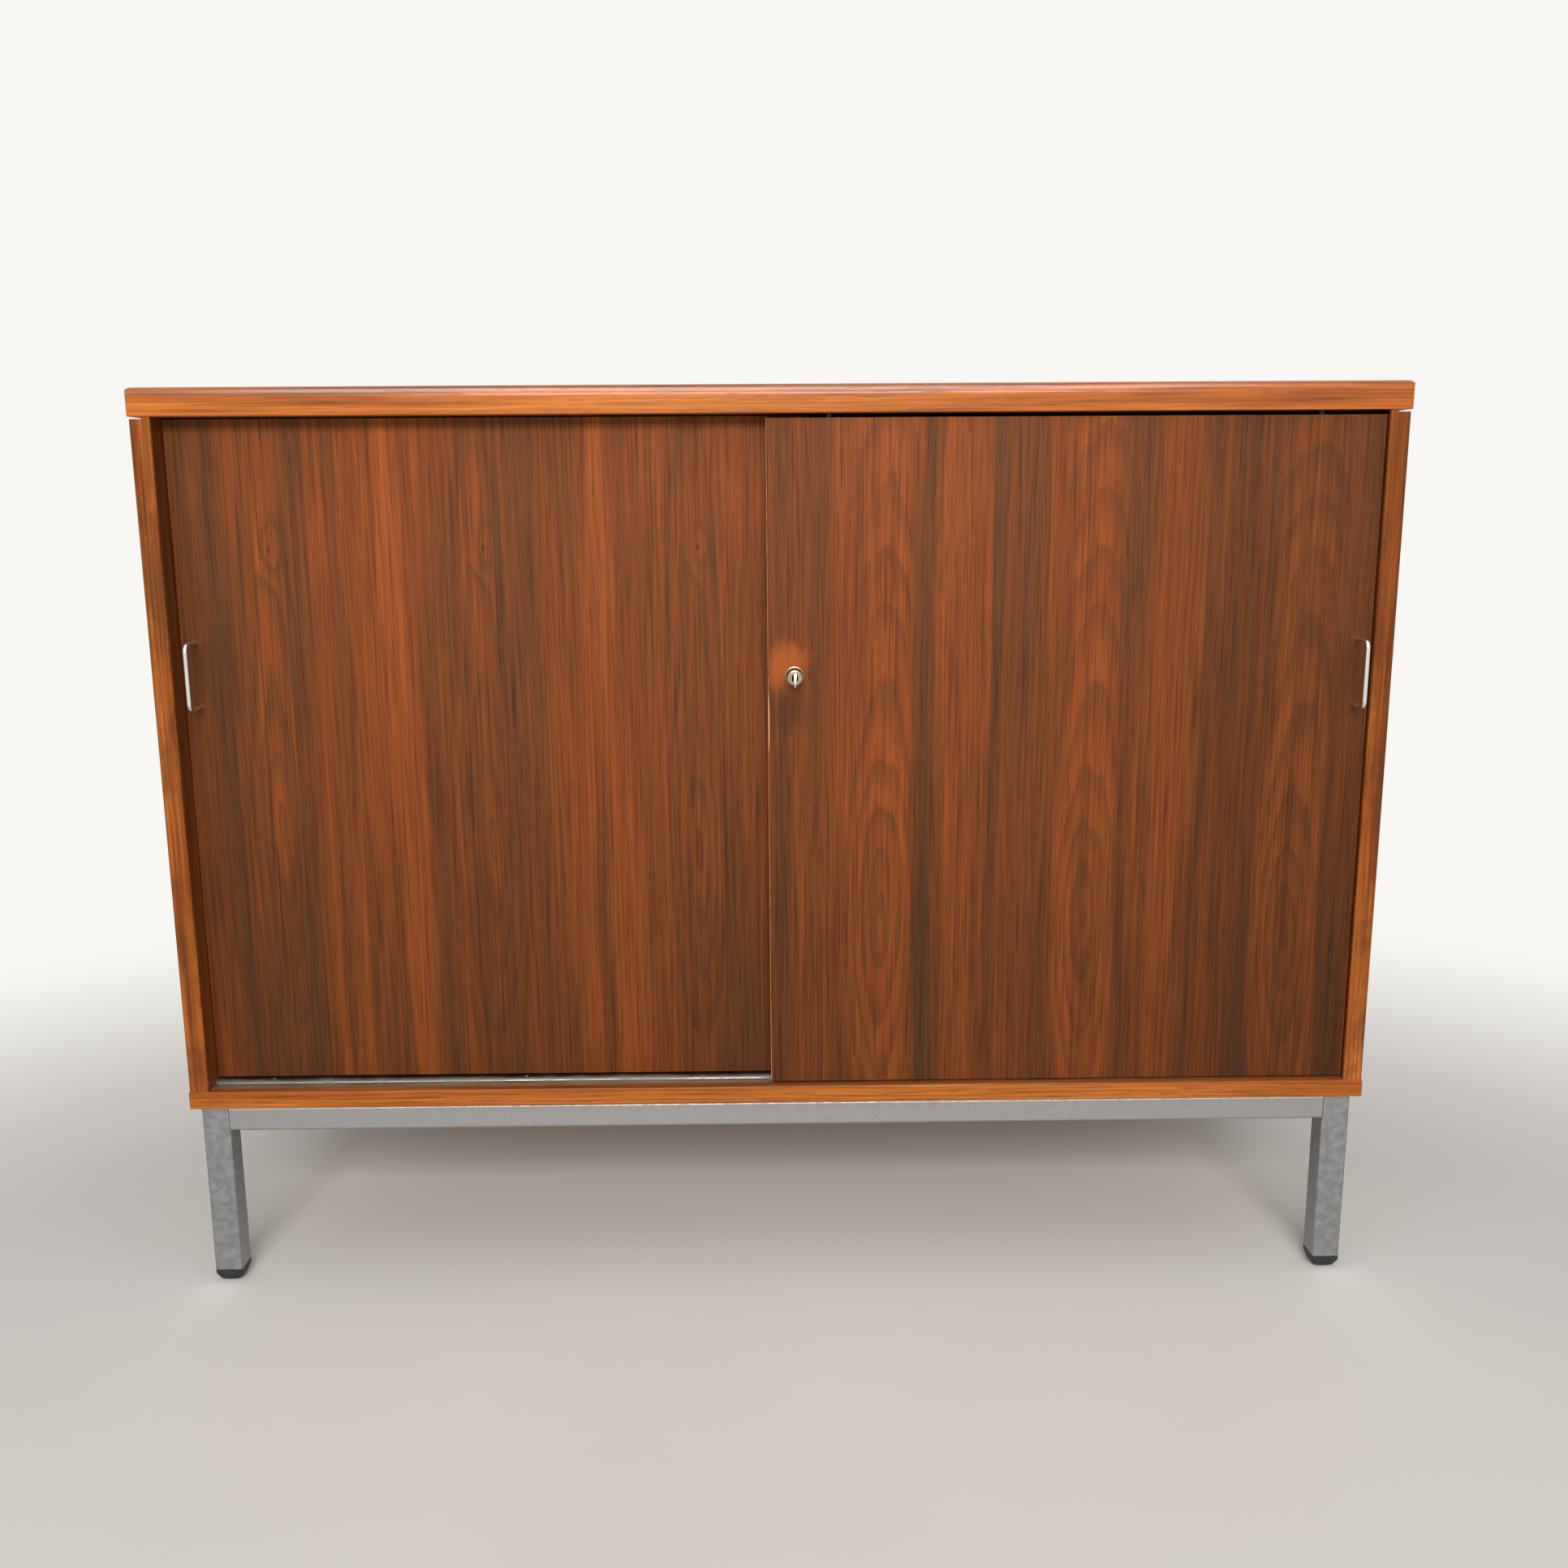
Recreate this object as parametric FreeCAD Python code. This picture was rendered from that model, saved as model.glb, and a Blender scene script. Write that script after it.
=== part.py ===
import FreeCAD, Part
import math
import os

# Two-door sliding cabinet on a square tube base. Millimetres, +Z up, front towards -Y.
# The origin is on the floor, in the middle of the width and of the depth with the key in its lock.

V = FreeCAD.Vector
along_x = V(1, 0, 0)
along_y = V(0, 1, 0)
along_z = V(0, 0, 1)

# Points closer than this are one point.
point_tolerance = 1e-6
# Cuts run past the faces that they open by this much.
overrun = 1.0
# Room on each side of a piece that is glued, pressed or screwed into its hole.
seat_fit = 0.05
# Radial room of a piece that turns or slides in its hole.
running_fit = 0.05

# Carcass boards
cabinet_width = 1200.0
cabinet_depth = 440.0
side_height = 669.0
side_thickness = 19.0
top_thickness = 27.0
bottom_thickness = 18.0
back_thickness = 5.0
back_rebate = 9.0
back_room = 0.5
top_end_overhang = 2.0
top_front_overhang = 2.0
bottom_overhang = 1.0
partition_thickness = 16.0
partition_room = 8.0

# Solid wood lippings and rounded edges
top_front_lipping_depth = 10.0
top_end_lipping_width = 8.0
side_lipping_depth = 4.0
bottom_lipping_depth = 10.0
inner_lipping_depth = 6.0
door_lipping_width = 1.5
top_front_round = 10.0
top_end_round = 5.0
top_corner_round = 4.0
edge_round = 1.5
door_round = 0.6

# Open joint between the sides and the top
shadow_gap_height = 2.0
shadow_gap_depth = 12.0

# Shelves on pins
shelf_thickness = 16.0
shelf_setback = 22.0
shelf_back_room = 2.0
shelf_end_room = 1.0
shelf_pin_radius = 2.5
shelf_pin_end_room = 0.5
shelf_pin_web = 2.0
shelf_pin_head_radius = 3.5
shelf_pin_head_length = 8.0
shelf_pin_cut = 1.0
shelf_pin_pitch = 50.0
shelf_pin_rows = 5
shelf_pin_inset = 45.0

# Dowels between the boards
dowel_radius = 4.0
dowel_cover = 6.0
dowel_in_side = 18.0
dowel_shares = (0.12, 0.37, 0.63, 0.88)

# Screws of the back panel
back_screw_radius = 1.6
back_screw_head_radius = 3.2
back_screw_length = 18.0
back_screw_width_shares = (-0.98, -0.5, 0.0, 0.5, 0.98)
back_screw_height_shares = (-0.5, 0.0, 0.5)

# Base of square tube
leg_size = 28.0
leg_length = 180.0
leg_end_inset = 9.5
leg_front_inset = 2.0
leg_back_inset = 12.0
rail_height = 25.0
rail_step = 3.0
tube_wall = 1.5
tube_round = 2.5
glide_height = 14.0
glide_rim = 5.0
glide_foot_size = 17.0
glide_heel_size = 23.0
glide_heel_height = 2.5
glide_foot_round = 5.0
glide_stem_length = 20.0
glide_stem_wall = 2.5
frame_screw_radius = 2.4
frame_screw_head_radius = 4.5
frame_screw_head_height = 2.8
frame_screw_cover = 2.5
frame_screw_access_radius = 6.5
frame_screw_shares = (-0.8, 0.0, 0.8)

# Doors
door_thickness = 16.0
front_door_setback = 5.5
door_gap = 5.0
door_floor_gap = 3.0
door_head_gap = 4.0
rear_door_rise = 3.0
door_side_gap = 1.0
front_door_lap = 7.0
fittings_height = 418.0

# Bow pulls bent from round rod
pull_rod_radius = 2.0
pull_centres = 64.0
pull_projection = 30.0
pull_bend_radius = 7.0
pull_edge_inset = 14.5
pull_stud_radius = 1.5
pull_nut_across_flats = 5.5
pull_nut_height = 2.4
pull_nut_recess_radius = 4.5
pull_nut_recess_depth = 4.0
pull_stud_end = 0.6

# Double track under the doors
track_side_room = 1.5
track_channel_depth = 5.0
track_base = 1.5
track_lip = 1.2
track_rib_wall = 1.5
track_step_setback = 2.0
track_screw_radius = 1.5
track_screw_head_radius = 3.0
track_screw_bite = 5.0
track_screw_shares = (-0.9, -0.45, 0.0, 0.45, 0.9)

# Rollers in carriers let into the back of each door
roller_radius = 11.5
roller_width = 5.0
roller_round = 0.8
roller_gap = 0.25
roller_hub_radius = 4.0
roller_rim = 2.2
roller_web_recess = 0.8
roller_edge_inset = 70.0
axle_radius = 1.5
carrier_end_wall = 2.5
carrier_cheek = 1.4
carrier_head = 12.0
carrier_below_axle = 2.75
carrier_slot_room = 0.3
carrier_roller_room = 1.0
carrier_round = 2.0
carrier_screw_radius = 1.4
carrier_screw_head_radius = 2.8
carrier_screw_length = 11.0
carrier_screw_drop = 5.5

# Guide over the doors and the pins that run in it
guide_pin_radius = 3.0
guide_pin_in_door = 14.0
guide_pin_entry = 6.0
guide_pin_edge_inset = 60.0
guide_pin_chamfer = 0.8
guide_channel_room = 0.35
guide_wall = 1.4
guide_pin_top_room = 2.6

# Push lock in the front door
lock_edge_inset = 26.0
lock_stand_out = 18.0
lock_travel = 7.0
lock_ring_rim = 0.8
lock_ring_thickness = 1.6
lock_barrel_wall = 1.0
lock_back_wall = 2.0
lock_plunger_radius = 7.5
lock_plunger_tail = 3.5
lock_plunger_chamfer = 1.0
lock_bolt_radius = 3.0
lock_bolt_chamfer = 0.8
lock_bolt_clearance = 0.5
lock_plug_radius = 5.5
lock_tail_wall = 2.5
lock_plug_recess = 0.6
lock_plug_end_room = 0.4
keyhole_width = 6.0
keyhole_height = 8.0
keyhole_depth = 1.0
spring_wire_radius = 0.45
spring_turns = 4
spring_end_room = 0.1
strike_flange = 1.5
strike_clearance = 2.0
strike_play = 2.0
strike_wall = 1.5
strike_edge_inset = 16.0
strike_shank_length = 10.0
strike_round = 0.8

# Key
key_thickness = 2.0
key_slot_room = 0.15
key_blade_height = 7.0
key_end_room = 2.0
key_neck_length = 5.0
key_bow_length = 17.0
key_bow_height = 15.0
key_bow_round = 6.5
key_hole_radius = 2.6
key_hole_edge = 2.4
key_notch_depth_shares = (0.22, 0.36, 0.16, 0.3)
key_tip_share = 0.3

# Places that several pieces share
key_reach = lock_stand_out - lock_plug_recess + key_neck_length + key_bow_length
front_reach = max(key_reach, pull_projection) - front_door_setback
front = front_reach - (cabinet_depth + front_reach) / 2
back = front + cabinet_depth
back_face = back - back_thickness
frame_top = glide_height + leg_length
deck = frame_top + bottom_thickness
side_top = deck + side_height
top_face = side_top + top_thickness
side_outer = cabinet_width / 2
side_inner = side_outer - side_thickness
top_half = side_outer + top_end_overhang
bottom_half = side_outer + bottom_overhang
top_front = front - top_front_overhang
bottom_front = front - bottom_overhang
partition_half = partition_thickness / 2

front_door_face = front + front_door_setback
front_door_back = front_door_face + door_thickness
rear_door_face = front_door_back + door_gap
rear_door_back = rear_door_face + door_thickness
door_pitch = door_thickness + door_gap
door_bottom = deck + door_floor_gap
door_top = side_top - door_head_gap
door_z = (door_bottom, door_top)
front_door_x = (-front_door_lap, side_inner - door_side_gap)
lock_x = front_door_x[0] + lock_edge_inset
rear_door_x = (-side_inner + door_side_gap, lock_x + strike_edge_inset)
fittings_z = door_bottom + fittings_height
front_pull_x = front_door_x[1] - pull_edge_inset
rear_pull_x = rear_door_x[0] + pull_edge_inset

partition_front = rear_door_back + partition_room
shelf_front = rear_door_back + shelf_setback
shelf_back = back_face - shelf_back_room
shelf_z = deck + (side_height - shelf_thickness) / 2
pin_middle = shelf_z - shelf_pin_head_radius + shelf_pin_cut
shelf_pin_hole_depth = (partition_thickness - shelf_pin_web) / 2
shelf_pin_depth = shelf_pin_hole_depth - shelf_pin_end_room

carrier_depth = roller_width + 2 * (carrier_slot_room + carrier_cheek)
roller_slot_half = roller_radius + carrier_roller_room
carrier_length = 2 * (roller_slot_half + carrier_end_wall)
track_channel_width = roller_width + 2 * track_side_room
track_height = track_channel_depth + track_base
track_floor = deck - track_channel_depth
axle_z = track_floor + roller_gap + roller_radius
carrier_z = (axle_z - carrier_below_axle, axle_z + roller_slot_half + carrier_head)
guide_height = guide_pin_entry + guide_pin_top_room + guide_wall

lock_barrel_radius = lock_plunger_radius + lock_barrel_wall
lock_ring_radius = lock_barrel_radius + lock_ring_rim
lock_face = front_door_face - lock_stand_out
lock_tail = front_door_face + lock_plunger_tail
plug_face = lock_face + lock_plug_recess
plug_end = lock_tail - lock_tail_wall - lock_plug_end_room
key_blade_length = plug_end - plug_face - key_end_room
strike_bore_radius = lock_bolt_radius + strike_play
strike_shank_radius = strike_bore_radius + strike_wall
strike_radius = strike_shank_radius + strike_flange
strike_height = door_gap - strike_clearance

rail_z = (frame_top - rail_height, frame_top)
rail_depth = leg_size - rail_step
tube_inner_round = max(tube_round - tube_wall, 0)
leg_outer = side_outer - leg_end_inset
leg_inner = leg_outer - leg_size
leg_front = front + leg_front_inset
leg_back = back - leg_back_inset


def ring(a, b):
    """The four corners of a rectangle from two spans, in order round it."""
    return [(a[0], b[0]), (a[1], b[0]), (a[1], b[1]), (a[0], b[1])]


def outline(points, radii):
    """A closed wire through points, with an arc of the given radius at each of them."""
    runs = []
    count = len(points)
    for i in range(count):
        here = points[i]
        to_last = points[i - 1] - here
        to_next = points[(i + 1) % count] - here
        half_turn = to_last.getAngle(to_next) / 2
        longest = min(to_last.Length, to_next.Length) * math.tan(half_turn) / 2
        radius = min(radii[i], longest)
        to_last.normalize()
        to_next.normalize()
        step = radius / math.tan(half_turn)
        middle = to_last + to_next
        middle.normalize()
        inward = radius / math.sin(half_turn) - radius
        runs.append((here + to_last * step, here + middle * inward, here + to_next * step, radius))
    edges = []
    for i in range(count):
        start, crest, end, radius = runs[i]
        if radius > 0:
            edges.append(Part.Arc(start, crest, end).toShape())
        following = runs[(i + 1) % count][0]
        if not following.isEqual(end, point_tolerance):
            edges.append(Part.LineSegment(end, following).toShape())
    return Part.Wire(edges)


def prism(points, radii, travel):
    """A solid drawn out of a flat outline."""
    return Part.Face(outline(points, radii)).extrude(travel)


def block(x, y, z):
    """A plain block between three spans."""
    return Part.makeBox(x[1] - x[0], y[1] - y[0], z[1] - z[0], V(x[0], y[0], z[0]))


def block_along_x(x, y, z, radii):
    """A bar along X whose section has rounded corners."""
    points = [V(x[0], a, b) for a, b in ring(y, z)]
    return prism(points, radii, V(x[1] - x[0], 0, 0))


def block_along_y(x, y, z, radii):
    """A bar along Y whose section has rounded corners."""
    points = [V(a, y[0], b) for a, b in ring(x, z)]
    return prism(points, radii, V(0, y[1] - y[0], 0))


def block_along_z(x, y, z, radii):
    """A post along Z whose section has rounded corners."""
    points = [V(a, b, z[0]) for a, b in ring(x, y)]
    return prism(points, radii, V(0, 0, z[1] - z[0]))


def grown(span, room):
    """A span made longer by the same room at both ends."""
    return (span[0] - room, span[1] + room)


def about(middle, size):
    """The span of a size about its middle."""
    return (middle - size / 2, middle + size / 2)


def turned(profile, x, z):
    """A solid turned about a line along Y, from its profile of radius and depth."""
    points = [V(x + radius, depth, z) for radius, depth in profile]
    face = Part.Face(Part.makePolygon(points + points[:1]))
    return face.revolve(V(x, 0, z), along_y, 360)


def countersunk_screw(radius, head_radius, length, place, direction):
    """A screw whose flat head is flush at place, with its shank along direction."""
    head_height = head_radius - radius
    head = Part.makeCone(head_radius, radius, head_height, place, direction)
    shank = Part.makeCylinder(radius, length - head_height, place + direction * head_height, direction)
    return head.fuse(shank).removeSplitter()


def save(name, *solids):
    """Write one piece, or a group of like pieces."""
    shape = solids[0] if len(solids) == 1 else Part.makeCompound(list(solids))
    shape.exportStep(f"parts/{name}.step")


def dowel_places():
    """Where each dowel leaves its board, which way it points there, and how deep it sits in the board."""
    places = []
    side_middle = side_inner + side_thickness / 2
    partition_depth = back_face - partition_front
    for level, way, board in ((deck, along_z, bottom_thickness), (side_top, -along_z, top_thickness)):
        for share in dowel_shares:
            for x in (-side_middle, side_middle):
                places.append((V(x, front + cabinet_depth * share, level), way, board - dowel_cover))
            middle = V(0, partition_front + partition_depth * share, level)
            places.append((middle, way, board - dowel_cover))
    return places


def dowels(room):
    """The carcass dowels, or with some room the holes that they sit in."""
    pieces = []
    for place, way, depth in dowel_places():
        start = place - way * (depth + room)
        length = depth + dowel_in_side + 2 * room
        pieces.append(Part.makeCylinder(dowel_radius + room, length, start, way))
    return pieces


def back_screw_places():
    """Points on the back face, round the edge of the back panel."""
    half_width = side_inner + back_rebate / 2
    rows = (deck - back_rebate / 2, side_top + back_rebate / 2)
    middle = (rows[0] + rows[1]) / 2
    places = [V(half_width * share, back, z) for share in back_screw_width_shares for z in rows]
    for x in (-half_width, half_width):
        places += [V(x, back, middle + side_height * share) for share in back_screw_height_shares]
    return places


def back_screws(room):
    """The back panel's screws, or with some room their holes."""
    return [
        countersunk_screw(
            back_screw_radius + room,
            back_screw_head_radius + room,
            back_screw_length + room,
            place,
            -along_y,
        )
        for place in back_screw_places()
    ]


def frame_screw_places():
    """Points on the upper walls of the rails, where the base is screwed to the bottom panel."""
    front_row = leg_front + rail_depth / 2
    back_row = leg_back - rail_depth / 2
    middle = (leg_front + leg_back) / 2
    side_row = leg_outer - rail_depth / 2
    rows = (front_row, back_row)
    places = [V(leg_inner * share, y, frame_top) for share in frame_screw_shares for y in rows]
    return places + [V(-side_row, middle, frame_top), V(side_row, middle, frame_top)]


def frame_screws(room):
    """Pan head screws inside the rails, or with some room their holes."""
    screws = []
    bite = bottom_thickness - track_height - frame_screw_cover
    for place in frame_screw_places():
        under_wall = place - along_z * tube_wall
        head_start = under_wall - along_z * frame_screw_head_height
        head = Part.makeCylinder(frame_screw_head_radius, frame_screw_head_height, head_start)
        shank_length = tube_wall + bite + room
        shank = Part.makeCylinder(frame_screw_radius + room, shank_length, under_wall)
        screws.append(shank if room else head.fuse(shank))
    return screws


def track_screw_places():
    """Points on top of the track's rib."""
    middle = (front_door_back + rear_door_back - carrier_depth) / 2
    level = deck + rear_door_rise
    return [V(side_inner * share, middle, level) for share in track_screw_shares]


def track_screws(room):
    """Countersunk screws through the rib, or with some room their holes."""
    return [
        countersunk_screw(
            track_screw_radius + room,
            track_screw_head_radius + room,
            rear_door_rise + track_height + track_screw_bite + room,
            place,
            -along_z,
        )
        for place in track_screw_places()
    ]


def shelf_pin_places():
    """Middle height of each pin row, and the places across the cabinet where rows of pins stand."""
    heights = [pin_middle + shelf_pin_pitch * (i - (shelf_pin_rows - 1) / 2) for i in range(shelf_pin_rows)]
    depths = (shelf_front + shelf_pin_inset, shelf_back - shelf_pin_inset)
    walls = ((-side_inner, 1), (-partition_half, -1), (partition_half, 1), (side_inner, -1))
    return heights, depths, walls


def shelf_pin_holes():
    """Rows of holes in the sides and the partition."""
    heights, depths, walls = shelf_pin_places()
    radius = shelf_pin_radius + seat_fit
    return [
        Part.makeCylinder(radius, shelf_pin_hole_depth, V(x, y, z), along_x * -facing)
        for z in heights
        for y in depths
        for x, facing in walls
    ]


def shelf_pins():
    """The pins that carry the shelves, with a flat on top of each head."""
    pins = []
    _, depths, walls = shelf_pin_places()
    for x, facing in walls:
        for y in depths:
            start = V(x, y, pin_middle)
            shank = Part.makeCylinder(shelf_pin_radius, shelf_pin_depth, start, along_x * -facing)
            head = Part.makeCylinder(shelf_pin_head_radius, shelf_pin_head_length, start, along_x * facing)
            reach = about(x, 2 * (shelf_pin_head_length + overrun))
            above = (shelf_z, shelf_z + shelf_pin_head_radius)
            flat = block(reach, about(y, 2 * (shelf_pin_head_radius + overrun)), above)
            pins.append(shank.fuse(head).cut(flat))
    return pins


def guide_span():
    """Front and back of the guide over the doors."""
    channel_half = guide_pin_radius + guide_channel_room
    first = front_door_face + door_thickness / 2
    return (first - channel_half - guide_wall, first + door_pitch + channel_half + guide_wall)


def track_span():
    """Front and back of the track under the doors."""
    first = front_door_back - carrier_depth / 2
    half = track_channel_width / 2 + track_lip
    return (first - half, first + door_pitch + half)


def top_slab():
    """The whole top with its rounded edges, its grooves and its holes."""
    x = (-top_half, top_half)
    y = (top_front, back)
    z = (side_top, top_face)
    along = block_along_x(x, y, z, (edge_round, 0, edge_round, top_front_round))
    across = block_along_y(x, y, z, (edge_round, edge_round, top_end_round, top_end_round))
    plan = block_along_z(x, y, z, (top_corner_round, top_corner_round, 0, 0))
    guide_room = grown((-side_inner, side_inner), seat_fit)
    groove = block(guide_room, grown(guide_span(), seat_fit), (side_top - overrun, side_top + guide_height))
    rebate_half = side_inner + back_rebate
    rebate = block(
        (-rebate_half, rebate_half),
        (back_face, back + overrun),
        (side_top - overrun, side_top + back_rebate),
    )
    slab = along.common(across).common(plan)
    return slab.cut([groove, rebate] + dowels(seat_fit) + back_screws(seat_fit))


def save_top():
    """The veneered top board and the solid lippings round its front and ends."""
    slab = top_slab()
    z = grown((side_top, top_face), overrun)
    lipping_back = top_front + top_front_lipping_depth
    core_half = top_half - top_end_lipping_width
    outside = top_half + overrun
    behind = (lipping_back, back + overrun)
    strip = (top_front - overrun, lipping_back)
    save("top_front_lipping", slab.common(block((-outside, outside), strip, z)))
    save("top_left_lipping", slab.common(block((-outside, -core_half), behind, z)))
    save("top_right_lipping", slab.common(block((core_half, outside), behind, z)))
    save("top_panel", slab.common(block((-core_half, core_half), behind, z)))


def bottom_slab():
    """The whole bottom with its rounded edges, the groove of the track and its holes."""
    x = (-bottom_half, bottom_half)
    y = (bottom_front, back)
    z = (frame_top, deck)
    along = block_along_x(x, y, z, (edge_round, 0, 0, edge_round))
    across = block_along_y(x, y, z, (edge_round, edge_round, edge_round, edge_round))
    plan = block_along_z(x, y, z, (edge_round, edge_round, 0, 0))
    track_room = grown((-side_inner, side_inner), seat_fit)
    groove = block(track_room, grown(track_span(), seat_fit), (deck - track_height, deck + overrun))
    rebate_half = side_inner + back_rebate
    rebate = block(
        (-rebate_half, rebate_half),
        (back_face, back + overrun),
        (deck - back_rebate, deck + overrun),
    )
    holes = dowels(seat_fit) + back_screws(seat_fit) + frame_screws(seat_fit) + track_screws(seat_fit)
    return along.common(across).common(plan).cut([groove, rebate] + holes)


def save_bottom():
    """The bottom board and its front lipping."""
    slab = bottom_slab()
    x = grown((-bottom_half, bottom_half), overrun)
    z = grown((frame_top, deck), overrun)
    lipping_back = bottom_front + bottom_lipping_depth
    save("bottom_front_lipping", slab.common(block(x, (bottom_front - overrun, lipping_back), z)))
    save("bottom_panel", slab.common(block(x, (lipping_back, back + overrun), z)))


def save_side(name, hand):
    """A side board with its front lipping; hand is -1 on the left and 1 on the right."""
    x = tuple(sorted((hand * side_inner, hand * side_outer)))
    z = (deck, side_top)
    lipping_back = front + side_lipping_depth
    gap_x = tuple(sorted((hand * (side_outer - shadow_gap_depth), hand * (side_outer + overrun))))
    gap = block(gap_x, grown((front, back), overrun), (side_top - shadow_gap_height, side_top + overrun))
    rebate_x = tuple(sorted((hand * (side_inner - overrun), hand * (side_inner + back_rebate))))
    rebate = block(rebate_x, (back_face, back + overrun), grown(z, overrun))
    holes = dowels(seat_fit) + back_screws(seat_fit) + shelf_pin_holes()
    board = block(x, (lipping_back, back), z).cut([gap, rebate] + holes)
    lipping = block_along_z(x, (front, lipping_back), z, (edge_round, edge_round, 0, 0)).cut([gap] + holes)
    save(f"{name}_side_panel", board)
    save(f"{name}_side_lipping", lipping)


def save_back():
    """The thin back panel in its rebates, and its screws."""
    half = side_inner + back_rebate - back_room
    z = (deck - back_rebate + back_room, side_top + back_rebate - back_room)
    save("back_panel", block((-half, half), (back_face, back), z).cut(back_screws(seat_fit)))
    save("back_panel_screws", *back_screws(0))


def save_partition():
    """The upright board between the two compartments, behind the doors."""
    x = (-partition_half, partition_half)
    z = (deck, side_top)
    lipping_back = partition_front + inner_lipping_depth
    holes = dowels(seat_fit) + shelf_pin_holes()
    lipping = block_along_z(x, (partition_front, lipping_back), z, (edge_round, edge_round, 0, 0))
    save("centre_partition", block(x, (lipping_back, back_face), z).cut(holes))
    save("partition_lipping", lipping.cut(dowels(seat_fit)))


def save_shelf(name, hand):
    """A shelf on its pins, with a lipping in front."""
    ends = (hand * (partition_half + shelf_end_room), hand * (side_inner - shelf_end_room))
    x = tuple(sorted(ends))
    z = (shelf_z, shelf_z + shelf_thickness)
    lipping_back = shelf_front + inner_lipping_depth
    lipping = block_along_x(x, (shelf_front, lipping_back), z, (edge_round, 0, 0, edge_round))
    save(f"{name}_shelf", block(x, (lipping_back, shelf_back), z))
    save(f"{name}_shelf_lipping", lipping)


def save_guide():
    """The double channel let into the top, open downwards over each door."""
    y = guide_span()
    body = block((-side_inner, side_inner), y, (side_top, side_top + guide_height))
    channel_x = grown((-side_inner, side_inner), overrun)
    channel_z = (side_top - overrun, side_top + guide_height - guide_wall)
    channel_width = y[1] - y[0] - door_pitch - 2 * guide_wall
    for start in (y[0] + guide_wall, y[0] + guide_wall + door_pitch):
        body = body.cut(block(channel_x, (start, start + channel_width), channel_z))
    save("top_door_guide", body)


def save_track():
    """The double track let into the bottom, its rear channel on a step behind a hollow rib."""
    y = track_span()
    x = (-side_inner, side_inner)
    open_x = grown(x, overrun)
    front_channel = (y[0] + track_lip, y[0] + track_lip + track_channel_width)
    rear_channel = tuple(edge + door_pitch for edge in front_channel)
    step = front_channel[1] + track_step_setback
    upper = deck + rear_door_rise
    raised = block(x, (step, y[1]), (deck, upper))
    body = block(x, y, (deck - track_height, deck)).fuse(raised).removeSplitter()
    hollow_y = (step + track_rib_wall, rear_channel[0] - track_rib_wall)
    cuts = [
        block(open_x, front_channel, (track_floor, deck + overrun)),
        block(open_x, rear_channel, (track_floor + rear_door_rise, upper + overrun)),
        block(open_x, hollow_y, (deck - track_height - overrun, upper - track_rib_wall)),
    ]
    save("bottom_door_track", body.cut(cuts + track_screws(seat_fit)))
    save("track_screws", *track_screws(0))


def tube_radii(radius):
    """The same rounding at all four corners of a tube."""
    return (radius,) * 4


def save_legs():
    """Four upright tubes, and the plastic glides pushed into their lower ends."""
    z = (glide_height, frame_top)
    glides = []
    columns = {"left": (-leg_outer, -leg_inner), "right": (leg_inner, leg_outer)}
    rows = {"front": (leg_front, leg_front + leg_size), "rear": (leg_back - leg_size, leg_back)}
    for side, x in columns.items():
        for row, y in rows.items():
            outer = block_along_z(x, y, z, tube_radii(tube_round))
            bore = block_along_z(
                grown(x, -tube_wall), grown(y, -tube_wall), grown(z, overrun), tube_radii(tube_inner_round)
            )
            save(f"{row}_{side}_leg", outer.cut(bore))
            glides.append(glide(x, y))
    save("foot_glides", *glides)


def glide_ring(x, y, size, radius, z):
    """One level of a glide, as a rounded square about the middle of its leg."""
    spans = (about((x[0] + x[1]) / 2, size), about((y[0] + y[1]) / 2, size))
    return outline([V(a, b, z) for a, b in ring(*spans)], tube_radii(radius))


def glide(x, y):
    """A glide with a square rim under the tube, a tapered foot and a hollow stem in the tube."""
    heel = glide_height - glide_rim
    rim = block_along_z(x, y, (heel, glide_height), tube_radii(tube_round))
    upper = glide_ring(x, y, leg_size, tube_round, heel)
    lower = glide_ring(x, y, glide_heel_size, glide_foot_round, glide_heel_height)
    sole = glide_ring(x, y, glide_foot_size, glide_foot_round, 0)
    taper = Part.makeLoft([upper, lower, sole], True, True)
    stem_x = grown(x, -tube_wall - seat_fit)
    stem_y = grown(y, -tube_wall - seat_fit)
    stem_z = (glide_height, glide_height + glide_stem_length)
    stem = block_along_z(stem_x, stem_y, stem_z, tube_radii(tube_inner_round))
    hollow_z = (glide_height, glide_height + glide_stem_length + overrun)
    hollow = block(grown(stem_x, -glide_stem_wall), grown(stem_y, -glide_stem_wall), hollow_z)
    return rim.fuse([taper, stem.cut(hollow)]).removeSplitter()


def rail_holes():
    """Screw holes in the upper walls of the rails, and wider ones below to reach the heads."""
    length = tube_wall + 2 * overrun
    low = rail_z[0] - overrun
    reach = [
        Part.makeCylinder(frame_screw_access_radius, length, V(place.x, place.y, low))
        for place in frame_screw_places()
    ]
    return reach + frame_screws(seat_fit)


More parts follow.
